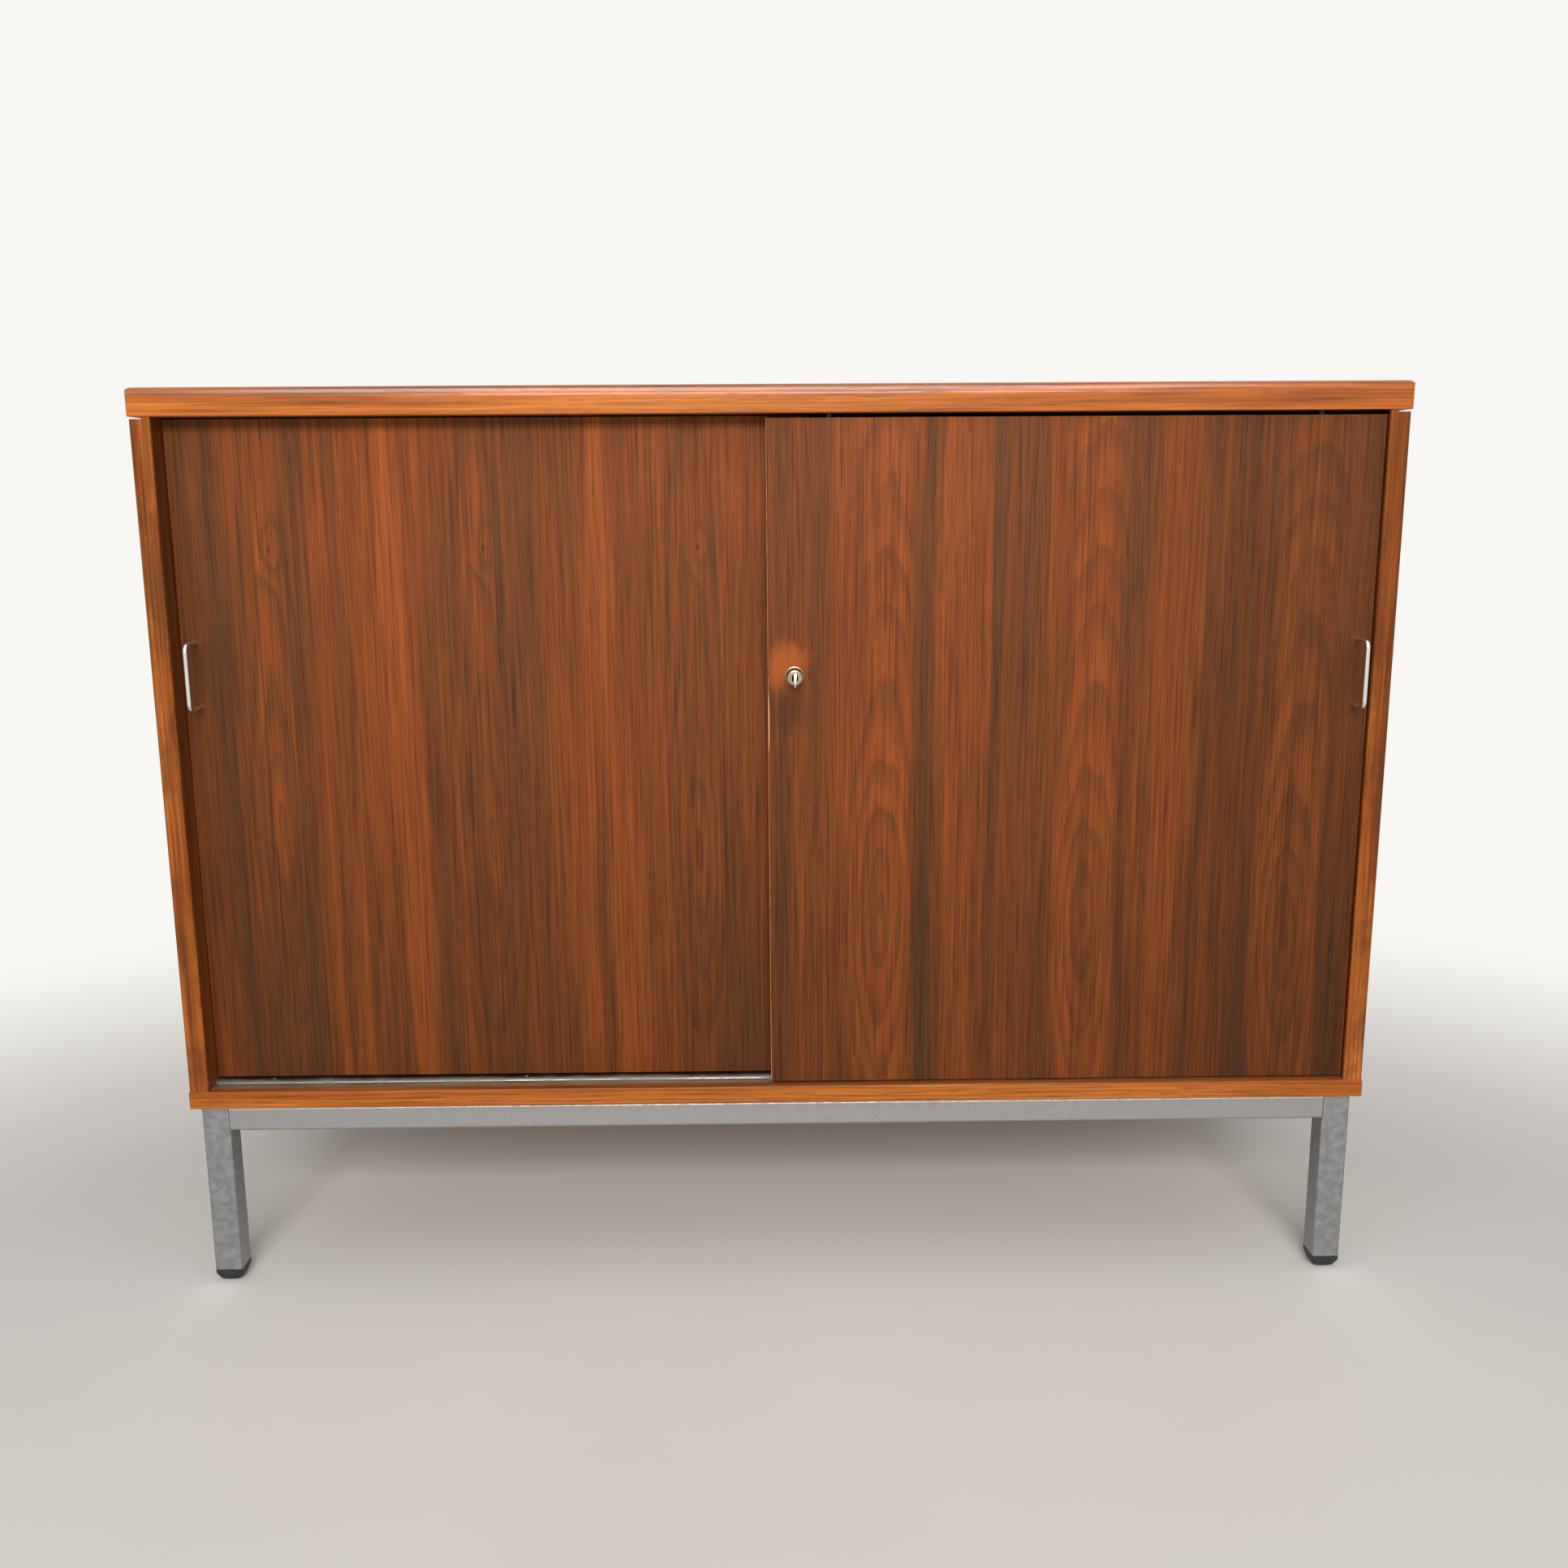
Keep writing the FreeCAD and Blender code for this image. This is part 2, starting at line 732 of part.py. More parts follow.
def save_rails():
    """Four tubes between the legs, and the screws that hold the base to the bottom."""
    between = (-leg_inner, leg_inner)
    outer_radii = tube_radii(tube_round)
    inner_radii = tube_radii(tube_inner_round)
    bore_z = grown(rail_z, -tube_wall)
    rows = {"front": (leg_front, leg_front + rail_depth), "rear": (leg_back - rail_depth, leg_back)}
    for name, y in rows.items():
        outer = block_along_x(between, y, rail_z, outer_radii)
        bore = block_along_x(grown(between, overrun), grown(y, -tube_wall), bore_z, inner_radii)
        save(f"{name}_rail", outer.cut(bore).cut(rail_holes()))
    y = (leg_front + leg_size, leg_back - leg_size)
    columns = {"left": (-leg_outer, rail_depth - leg_outer), "right": (leg_outer - rail_depth, leg_outer)}
    for name, x in columns.items():
        outer = block_along_y(x, y, rail_z, outer_radii)
        bore = block_along_y(grown(x, -tube_wall), grown(y, overrun), bore_z, inner_radii)
        save(f"{name}_rail", outer.cut(bore).cut(rail_holes()))
    save("frame_screws", *frame_screws(0))


def inset_pair(span, inset):
    """Two places at the same distance from both ends of a span."""
    return (span[0] + inset, span[1] - inset)


def carrier_spans(x, face, room):
    """The block of a roller carrier, let into the back of a door."""
    door_back = face + door_thickness
    return (
        about(x, carrier_length + 2 * room),
        (door_back - carrier_depth - room, door_back),
        (carrier_z[0], carrier_z[1] + room),
    )


def carrier_screws(x_span, face, room):
    """One screw through the head of each roller carrier, or with some room its hole."""
    place_z = carrier_z[1] - carrier_screw_drop
    return [
        countersunk_screw(
            carrier_screw_radius + room,
            carrier_screw_head_radius + room,
            carrier_screw_length + room,
            V(x, face + door_thickness, place_z),
            -along_y,
        )
        for x in inset_pair(x_span, roller_edge_inset)
    ]


def axles(x_span, face, room):
    """The axles of a door's rollers, or with some room their holes."""
    start = face + door_thickness - carrier_depth
    return [
        Part.makeCylinder(axle_radius + room, carrier_depth, V(x, start, axle_z), along_y)
        for x in inset_pair(x_span, roller_edge_inset)
    ]


def carrier(x, x_span, face):
    """A carrier with cheeks on both sides of its roller."""
    spans = carrier_spans(x, face, 0)
    body = block_along_y(*spans, (carrier_round, carrier_round, 0, 0))
    middle = (spans[1][0] + spans[1][1]) / 2
    slot_y = about(middle, roller_width + 2 * carrier_slot_room)
    slot_z = (carrier_z[0] - overrun, axle_z + roller_slot_half)
    slot = block(about(x, 2 * roller_slot_half), slot_y, slot_z)
    return body.cut([slot] + axles(x_span, face, seat_fit) + carrier_screws(x_span, face, seat_fit))


def roller(x, face):
    """A nylon roller with a thinner web between its hub and its rim."""
    middle = face + door_thickness - carrier_depth / 2
    low, high = about(middle, roller_width)
    rim = roller_radius - roller_rim
    bore = axle_radius + running_fit
    profile = [
        (bore, low),
        (roller_hub_radius, low),
        (roller_hub_radius, low + roller_web_recess),
        (rim, low + roller_web_recess),
        (rim, low),
        (roller_radius - roller_round, low),
        (roller_radius, low + roller_round),
        (roller_radius, high - roller_round),
        (roller_radius - roller_round, high),
        (rim, high),
        (rim, high - roller_web_recess),
        (roller_hub_radius, high - roller_web_recess),
        (roller_hub_radius, high),
        (bore, high),
    ]
    return turned(profile, x, axle_z)


def guide_pins(x_span, face, rise, room):
    """The pins in the top edge of a door, or with some room their holes."""
    pins = []
    length = guide_pin_in_door + door_head_gap - rise + guide_pin_entry
    for x in inset_pair(x_span, guide_pin_edge_inset):
        start = V(x, face + door_thickness / 2, door_top - guide_pin_in_door - room)
        pin = Part.makeCylinder(guide_pin_radius + room, length + room, start)
        tip = [edge for edge in pin.Edges if edge.BoundBox.ZMin > start.z + guide_pin_in_door]
        upper = [edge for edge in tip if edge.Curve.TypeId == "Part::GeomCircle"]
        pins.append(pin if room else pin.makeChamfer(guide_pin_chamfer, upper))
    return pins


def pull_feet():
    """Heights of a pull's two legs."""
    return about(fittings_z, pull_centres)


def pull(x, face):
    """A bow of round rod whose legs end on the door, with a thinner stud through it from each leg."""
    low, high = pull_feet()
    bar = face - pull_projection + pull_rod_radius
    bend = pull_bend_radius
    mid_step = bend * (1 - math.sqrt(2) / 2)
    foot_low = V(x, face, low)
    low_leg = V(x, bar + bend, low)
    low_bar = V(x, bar, low + bend)
    high_bar = V(x, bar, high - bend)
    high_leg = V(x, bar + bend, high)
    foot_high = V(x, face, high)
    path = Part.Wire(
        [
            Part.LineSegment(foot_low, low_leg).toShape(),
            Part.Arc(low_leg, V(x, bar + mid_step, low + mid_step), low_bar).toShape(),
            Part.LineSegment(low_bar, high_bar).toShape(),
            Part.Arc(high_bar, V(x, bar + mid_step, high - mid_step), high_leg).toShape(),
            Part.LineSegment(high_leg, foot_high).toShape(),
        ]
    )
    section = Part.Wire([Part.Circle(foot_low, along_y, pull_rod_radius).toShape()])
    rod = path.makePipeShell([section], True, False)
    stud_length = door_thickness - pull_stud_end
    feet = (foot_low, foot_high)
    return rod.fuse([Part.makeCylinder(pull_stud_radius, stud_length, foot, along_y) for foot in feet])


def pull_nuts(x, face):
    """Hexagon nuts on the studs, sunk into the back of the door."""
    nuts = []
    corner_radius = pull_nut_across_flats / math.sqrt(3)
    seat = face + door_thickness - pull_nut_recess_depth
    for z in pull_feet():
        corners = []
        for turn in range(0, 360, 60):
            angle = math.radians(turn)
            corners.append(V(x + corner_radius * math.cos(angle), seat, z + corner_radius * math.sin(angle)))
        bore = Part.makeCylinder(
            pull_stud_radius + seat_fit, pull_nut_height + 2 * overrun, V(x, seat - overrun, z), along_y
        )
        nuts.append(prism(corners, (0,) * 6, V(0, pull_nut_height, 0)).cut(bore))
    return nuts


def pull_holes(x, face):
    """Stud holes through a door, with wider recesses for the nuts at its back."""
    seat = face + door_thickness - pull_nut_recess_depth
    stud_hole_length = door_thickness + 2 * overrun
    recess_length = pull_nut_recess_depth + overrun
    holes = []
    for z in pull_feet():
        start = V(x, face - overrun, z)
        holes.append(Part.makeCylinder(pull_stud_radius + seat_fit, stud_hole_length, start, along_y))
        holes.append(Part.makeCylinder(pull_nut_recess_radius, recess_length, V(x, seat, z), along_y))
    return holes


def save_lifted(name, rise, *solids):
    """Write pieces of a door at the level of its own channel."""
    save(name, *[solid.translated(V(0, 0, rise)) for solid in solids])


def save_door(name, x_span, face, rise, pull_x, hole):
    """A door with its edge lippings, its pull, and the fittings that carry and guide it."""
    y = (face, face + door_thickness)
    core_x = grown(x_span, -door_lipping_width)
    core = block_along_x(core_x, y, door_z, (door_round, door_round, door_round, door_round))
    roller_x = inset_pair(x_span, roller_edge_inset)
    mortises = []
    for x in roller_x:
        room_x, room_y, room_z = carrier_spans(x, face, seat_fit)
        mortises.append(block(room_x, (room_y[0], y[1] + overrun), (door_bottom - overrun, room_z[1])))
    fitting_holes = guide_pins(x_span, face, rise, seat_fit) + pull_holes(pull_x, face)
    cuts = mortises + fitting_holes + [hole.translated(V(0, 0, -rise))]
    left = block_along_z((x_span[0], core_x[0]), y, door_z, (door_round, 0, 0, door_round))
    right = block_along_z((core_x[1], x_span[1]), y, door_z, (0, door_round, door_round, 0))
    save_lifted(f"{name}_panel", rise, core.cut(cuts + carrier_screws(x_span, face, seat_fit)))
    save_lifted(f"{name}_lippings", rise, left.cut(cuts), right.cut(cuts))
    save_lifted(f"{name}_pull", rise, pull(pull_x, face))
    save_lifted(f"{name}_pull_nuts", rise, *pull_nuts(pull_x, face))
    save_lifted(f"{name}_carriers", rise, *[carrier(x, x_span, face) for x in roller_x])
    save_lifted(f"{name}_carrier_screws", rise, *carrier_screws(x_span, face, 0))
    save_lifted(f"{name}_axles", rise, *axles(x_span, face, 0))
    save_lifted(f"{name}_guide_pins", rise, *guide_pins(x_span, face, rise, 0))
    save_lifted(f"{name}_left_roller", rise, roller(roller_x[0], face))
    save_lifted(f"{name}_right_roller", rise, roller(roller_x[1], face))


def lock_hole():
    """The round hole of the lock through the front door."""
    start = V(lock_x, front_door_face - overrun, fittings_z)
    return Part.makeCylinder(lock_barrel_radius + seat_fit, door_thickness + 2 * overrun, start, along_y)


def strike_hole():
    """The blind hole of the strike bush in the rear door."""
    start = V(lock_x, rear_door_face - overrun, fittings_z)
    return Part.makeCylinder(strike_shank_radius + seat_fit, strike_shank_length + overrun, start, along_y)


def lock_housing():
    """The ring on the door's face and the barrel through it, closed at the back round the bolt."""
    ring_face = front_door_face - lock_ring_thickness
    bore = lock_plunger_radius + running_fit
    bolt_bore = lock_bolt_radius + running_fit
    wall = front_door_back - lock_back_wall
    lip = (lock_ring_radius - bore) / 2
    profile = [
        (bore, ring_face),
        (lock_ring_radius - lip, ring_face),
        (lock_ring_radius, ring_face + lip),
        (lock_ring_radius, front_door_face),
        (lock_barrel_radius, front_door_face),
        (lock_barrel_radius, front_door_back),
        (bolt_bore, front_door_back),
        (bolt_bore, wall),
        (bore, wall),
    ]
    return turned(profile, lock_x, fittings_z)


def lock_plunger():
    """The sprung head of the lock with the bolt behind it, bored for the plug."""
    tip = rear_door_face - lock_bolt_clearance - lock_travel
    plug_bore = lock_plug_radius + running_fit
    bore_end = plug_end + lock_plug_end_room
    profile = [
        (plug_bore, lock_face),
        (lock_plunger_radius - lock_plunger_chamfer, lock_face),
        (lock_plunger_radius, lock_face + lock_plunger_chamfer),
        (lock_plunger_radius, lock_tail),
        (lock_bolt_radius, lock_tail),
        (lock_bolt_radius, tip - lock_bolt_chamfer),
        (lock_bolt_radius - lock_bolt_chamfer, tip),
        (0, tip),
        (0, bore_end),
        (plug_bore, bore_end),
    ]
    return turned(profile, lock_x, fittings_z)


def lock_plug():
    """The turning plug with an oval mouth and the slot of the key."""
    start = V(lock_x, plug_face, fittings_z)
    body = Part.makeCylinder(lock_plug_radius, plug_end - plug_face, start, along_y)
    mouth_radii = tube_radii(keyhole_width / 2)
    mouth_y = (plug_face - overrun, plug_face + keyhole_depth)
    mouth_x = about(lock_x, keyhole_width)
    mouth_z = about(fittings_z, keyhole_height)
    mouth = block_along_y(mouth_x, mouth_y, mouth_z, mouth_radii)
    slot = block(
        about(lock_x, key_thickness + 2 * key_slot_room),
        (plug_face - overrun, plug_face + key_blade_length + key_slot_room),
        about(fittings_z, key_blade_height + 2 * key_slot_room),
    )
    return body.cut([mouth, slot])


def key():
    """A flat key: a notched blade in the plug, a neck and a round bow with a hole."""
    tip = plug_face + key_blade_length
    start = lock_x - key_thickness / 2
    low, high = about(fittings_z, key_blade_height)
    pitch = key_blade_length / (len(key_notch_depth_shares) + 1)
    rise = key_tip_share * key_blade_height
    bow_back = plug_face - key_neck_length
    edge = [V(start, bow_back, low), V(start, tip - rise, low), V(start, tip, low + rise)]
    edge.append(V(start, tip, high - rise))
    for i, share in enumerate(key_notch_depth_shares):
        middle = tip - pitch * (i + 1)
        edge.append(V(start, middle + pitch / 2, high - rise / 2))
        edge.append(V(start, middle, high - key_blade_height * share))
    edge += [V(start, plug_face, high), V(start, bow_back, high)]
    blade = prism(edge, (0,) * len(edge), V(key_thickness, 0, 0))
    bow_y = (bow_back - key_bow_length, bow_back)
    bow_x = (start, start + key_thickness)
    bow_radii = tube_radii(key_bow_round)
    bow = block_along_x(bow_x, bow_y, about(fittings_z, key_bow_height), bow_radii)
    hole_place = V(start - overrun, bow_y[0] + key_hole_edge + key_hole_radius, fittings_z)
    hole = Part.makeCylinder(key_hole_radius, key_thickness + 2 * overrun, hole_place, along_x)
    return blade.fuse(bow).removeSplitter().cut(hole)


def coil_point(radius, rise, angle, start):
    """A point of the coil and its direction there."""
    x = lock_x + radius * math.cos(angle)
    z = fittings_z + radius * math.sin(angle)
    place = V(x, start + rise * angle, z)
    direction = V(-radius * math.sin(angle), rise, radius * math.cos(angle))
    direction.normalize()
    return place, direction


def joined_arcs(first, first_way, last, last_way):
    """Two arcs that leave one point along its direction and reach the next along the other."""
    span = last - first
    turn = 2 * (1 - first_way.dot(last_way))
    along = span.dot(first_way + last_way)
    reach = (math.sqrt(along * along + turn * span.dot(span)) - along) / turn
    meeting = (first + first_way * reach + last - last_way * reach) / 2
    arcs = []
    for start, corner, end in (
        (first, first + first_way * reach, meeting),
        (meeting, last - last_way * reach, last),
    ):
        half = (start - corner).getAngle(end - corner) / 2
        chord_middle = (start + end) / 2
        lean = (chord_middle - corner).Length
        radius = (start - corner).Length * math.tan(half)
        inward = radius / math.sin(half) - radius
        crest = corner + (chord_middle - corner) * (inward / lean)
        arcs.append(Part.Arc(start, crest, end).toShape())
    return arcs


def lock_spring():
    """The coil spring round the bolt, between the plunger and the back of the housing."""
    start = lock_tail + spring_wire_radius + spring_end_room
    end = front_door_back - lock_back_wall - spring_wire_radius - spring_end_room
    radius = (lock_bolt_radius + lock_plunger_radius) / 2
    rise = (end - start) / (spring_turns * 2 * math.pi)
    quarter = math.pi / 2
    edges = []
    for i in range(4 * spring_turns):
        here, here_way = coil_point(radius, rise, i * quarter, start)
        there, there_way = coil_point(radius, rise, (i + 1) * quarter, start)
        edges += joined_arcs(here, here_way, there, there_way)
    first, first_way = coil_point(radius, rise, 0, start)
    section = Part.Wire([Part.Circle(first, first_way, spring_wire_radius).toShape()])
    print("least gap between turns of the spring", (end - start) / spring_turns - 2 * spring_wire_radius)
    return Part.Wire(edges).makePipeShell([section], True, False)


def strike_bush():
    """The ring on the rear door that the bolt enters."""
    face = rear_door_face - strike_height
    end = rear_door_face + strike_shank_length
    profile = [
        (strike_bore_radius, face),
        (strike_radius - strike_round, face),
        (strike_radius, face + strike_round),
        (strike_radius, rear_door_face),
        (strike_shank_radius, rear_door_face),
        (strike_shank_radius, end),
        (strike_bore_radius, end),
    ]
    return turned(profile, lock_x, fittings_z)


def save_lock():
    """Every piece of the lock and its strike."""
    save("lock_housing", lock_housing())
    save("lock_spring", lock_spring())
    save("lock_plunger", lock_plunger())
    save("lock_plug", lock_plug())
    save("lock_key", key())
    save("strike_bush", strike_bush())


os.makedirs("parts", exist_ok=True)
save_top()
save_bottom()
save_side("left", -1)
save_side("right", 1)
save_back()
save_partition()
save_shelf("left", -1)
save_shelf("right", 1)
save("shelf_pins", *shelf_pins())
save("carcass_dowels", *dowels(0))
save_guide()
save_track()
save_legs()
save_rails()
save_door("front_door", front_door_x, front_door_face, 0, front_pull_x, lock_hole())
save_door("rear_door", rear_door_x, rear_door_face, rear_door_rise, rear_pull_x, strike_hole())
save_lock()
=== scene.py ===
import math
from collections import namedtuple

import bpy
from bpy.props import FloatProperty, FloatVectorProperty, IntProperty, PointerProperty
from mathutils import Matrix, Vector


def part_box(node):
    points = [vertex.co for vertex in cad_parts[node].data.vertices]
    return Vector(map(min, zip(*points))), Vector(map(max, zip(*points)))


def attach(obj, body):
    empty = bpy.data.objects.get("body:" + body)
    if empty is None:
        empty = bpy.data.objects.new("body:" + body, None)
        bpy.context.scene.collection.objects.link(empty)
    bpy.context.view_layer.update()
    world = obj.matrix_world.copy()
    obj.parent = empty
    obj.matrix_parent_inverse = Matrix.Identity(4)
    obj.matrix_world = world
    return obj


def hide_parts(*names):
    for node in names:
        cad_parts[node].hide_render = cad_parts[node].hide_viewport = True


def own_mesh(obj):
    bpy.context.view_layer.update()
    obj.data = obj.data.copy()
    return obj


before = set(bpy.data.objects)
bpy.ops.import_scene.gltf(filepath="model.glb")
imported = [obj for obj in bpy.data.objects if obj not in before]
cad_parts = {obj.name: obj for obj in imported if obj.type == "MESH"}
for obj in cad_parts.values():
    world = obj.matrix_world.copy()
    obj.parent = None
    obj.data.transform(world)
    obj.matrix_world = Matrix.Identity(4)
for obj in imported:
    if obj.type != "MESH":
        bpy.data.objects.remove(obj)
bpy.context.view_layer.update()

bl_info = {
    "name": "Sliding door cabinet finishes",
    "version": (1, 0, 0),
    "blender": (4, 5, 0),
    "location": "View3D > Sidebar > Cabinet",
    "description": "Veneer, lippings, metal and plastic of a sliding door cabinet, and its stage",
    "category": "Material",
}

white = (1.0, 1.0, 1.0)
oil_gloss = 0.14
quarter_turn = (-math.pi / 2, 0.0, 0.0)

# Axes in the order across the grain, through the board and along the grain.
upright = ("X", "Y", "Z")
side_grain = ("Y", "X", "Z")
flat_grain = ("Y", "Z", "X")
long_grain = ("Z", "Y", "X")
deep_grain = ("Z", "X", "Y")
front_turned = ("X", "Z", "Y")

Figure = namedtuple("Figure", "leaf_start leaf_spread crown slope lift ring_share knot seed")
Patch = namedtuple("Patch", "tint across along reach stretch strength")
Shade = namedtuple("Shade", "way dark_end clear_end share_left")
Rings = namedtuple("Rings", "spacing wander share")
Stain = namedtuple("Stain", "tint strength stained_to clean_from")
Rubbed = namedtuple("Rubbed", "tint across depth chip")
Ends = namedtuple("Ends", "level dark light")
Marks = namedtuple("Marks", "patch spot line seed")
# Painted shade: a darker tint laid from a start to an end, along the depth or round a bore.
PaintedShade = namedtuple("PaintedShade", "tint start end bore", defaults=(None,))


def tone(red, green, blue):
    """A colour given in screen values from 0 to 255, as linear light."""
    shares = [value / 255 for value in (red, green, blue)]
    return tuple(s / 12.92 if s <= 0.04045 else ((s + 0.055) / 1.055) ** 2.4 for s in shares)


def scaled(shade, factor):
    """A colour made darker or lighter, up to full light."""
    return tuple(min(1.0, factor * value) for value in shade)


def setting(kind, **fixed):
    """A call that makes one kind of setting for the sidebar."""

    def make(name, description, value, **more):
        return kind(name=name, description=description, default=value, **fixed, **more)

    return make


shade_setting = setting(FloatVectorProperty, size=3, subtype="COLOR", min=0.0, max=1.0)
length = setting(FloatProperty, min=0.0, precision=4, unit="LENGTH")
share = setting(FloatProperty, min=0.0, max=1.0, subtype="FACTOR")
power = setting(FloatProperty, unit="POWER")
count = setting(IntProperty)


def colour(name, description, *screen):
    """A colour for the sidebar, given in screen values."""
    return shade_setting(name, description, tone(*screen))


class CabinetVeneer(bpy.types.PropertyGroup):
    """The walnut veneer of the top, the sides and the doors."""

    leaf_width: length("Leaf width", "Width of one veneer leaf", 0.206)
    ring_spacing: length("Ring spacing", "Distance between growth rings in the log", 0.0085)
    dark: colour("Dark streaks", "Grey-brown heartwood streaks", 86, 53, 27)
    middle: colour("Middle tone", "Most of the veneer", 115, 60, 24)
    light: colour("Light streaks", "Orange-brown streaks", 146, 75, 26)
    pore: colour("Pores", "Fine dark pores along the grain", 64, 34, 22)
    roughness: share("Roughness", "Sheen of the oiled face", 0.44)


class CabinetLipping(bpy.types.PropertyGroup):
    """The solid wood on the edges."""

    dark: colour("Dark lines", "Late wood in the rings", 138, 70, 25)
    middle: colour("Middle tone", "Most of the wood", 194, 105, 36)
    light: colour("Light lines", "Early wood in the rings", 222, 130, 54)
    pore: colour("Pores", "Fine dark pores along the grain", 92, 46, 20)
    worn: colour("Dark wear", "Old oil and dirt in patches on the upright edges", 84, 46, 22)
    door_edge: colour("Door edges", "Thin edges of the doors", 112, 58, 28)
    rubbed: colour("Rubbed corner", "Pale wood where the finish is rubbed through", 214, 160, 118)
    roughness: share("Roughness", "Sheen of the oiled edge", 0.3)


class CabinetInside(bpy.types.PropertyGroup):
    """The boards inside, the back and the dowels."""

    dark: colour("Dark streaks", "Darker grain of the inner veneer", 118, 76, 48)
    middle: colour("Middle tone", "Most of the inner veneer", 158, 108, 70)
    light: colour("Light streaks", "Lighter grain of the inner veneer", 182, 132, 90)
    board: colour("Back board", "Pressed fibre board", 134, 92, 60)
    core: colour("Board core", "Chips that show on the back edges", 170, 134, 92)
    beech: colour("Dowels", "Plain beech", 205, 170, 128)


class CabinetMetal(bpy.types.PropertyGroup):
    """The base, the track, the pulls, the lock and the small fittings."""

    steel: colour("Base steel", "Most of the tube", 171, 170, 170)
    steel_dark: colour("Base stains", "Dull patches on the tube", 146, 148, 149)
    aluminium: colour("Track", "Drawn aluminium", 172, 164, 155)
    chrome: colour("Pulls", "Polished plate", 226, 227, 230)
    nickel: colour("Lock plate", "Nickel on the lock", 160, 151, 134)
    brass: colour("Lock wear", "Brass under the nickel", 150, 122, 78)
    zinc: colour("Screws", "Zinc plated steel", 190, 190, 186)


class CabinetPlastic(bpy.types.PropertyGroup):
    """Glides, guide, rollers and pins."""

    black: colour("Glides", "Moulded black plastic", 26, 26, 27)
    brown: colour("Guide", "Extruded dark brown plastic", 58, 40, 31)
    nylon: colour("Rollers", "Moulded dark nylon", 44, 38, 34)


class CabinetScrews(bpy.types.PropertyGroup):
    """Countersunk screws with a cross recess."""

    facets: count("Facets", "Sides of a head", 28, min=8, max=64)
    recess_width: share("Recess width", "Width of the cross as a share of the head", 0.17)
    recess_reach: share("Recess reach", "Length of the cross as a share of the head", 0.62)
    recess_depth: share("Recess depth", "Depth of the cross as a share of the head's height", 0.7)
    seed: count("Seed", "Turns of the crosses", 5, min=0)


class CabinetSpring(bpy.types.PropertyGroup):
    """The lock's coil spring."""

    wire: length("Wire", "Thickness of the wire", 0.0009)
    turns: FloatProperty(name="Turns", description="Turns of the coil", default=4.0, min=1.0)
    facets: count("Facets", "Steps in one turn", 40, min=8, max=128)
    wire_facets: count("Wire facets", "Sides of the wire", 14, min=6, max=32)


class CabinetStage(bpy.types.PropertyGroup):
    """Floor, light and camera."""

    floor: colour("Floor", "Pale floor", 240, 236, 230)
    backdrop: colour("Backdrop", "Pale background", 249, 247, 243)
    floor_size: length("Floor size", "Half of the floor's width", 14.0)
    lens: FloatProperty(
        name="Lens", description="Focal length on a 36 mm sensor", default=33.54, unit="CAMERA"
    )
    key_power: power("Key lamp", "Power of the large lamp in front", 217.0)
    card_power: power("Gloss card", "Power of the card above, seen in gloss only", 120.0)
    sky: share("Surroundings", "Brightness of the light from all round", 0.48)


settings_classes = {
    "cabinet_veneer": CabinetVeneer,
    "cabinet_lipping": CabinetLipping,
    "cabinet_inside": CabinetInside,
    "cabinet_metal": CabinetMetal,
    "cabinet_plastic": CabinetPlastic,
    "cabinet_spring": CabinetSpring,
    "cabinet_screws": CabinetScrews,
    "cabinet_stage": CabinetStage,
}


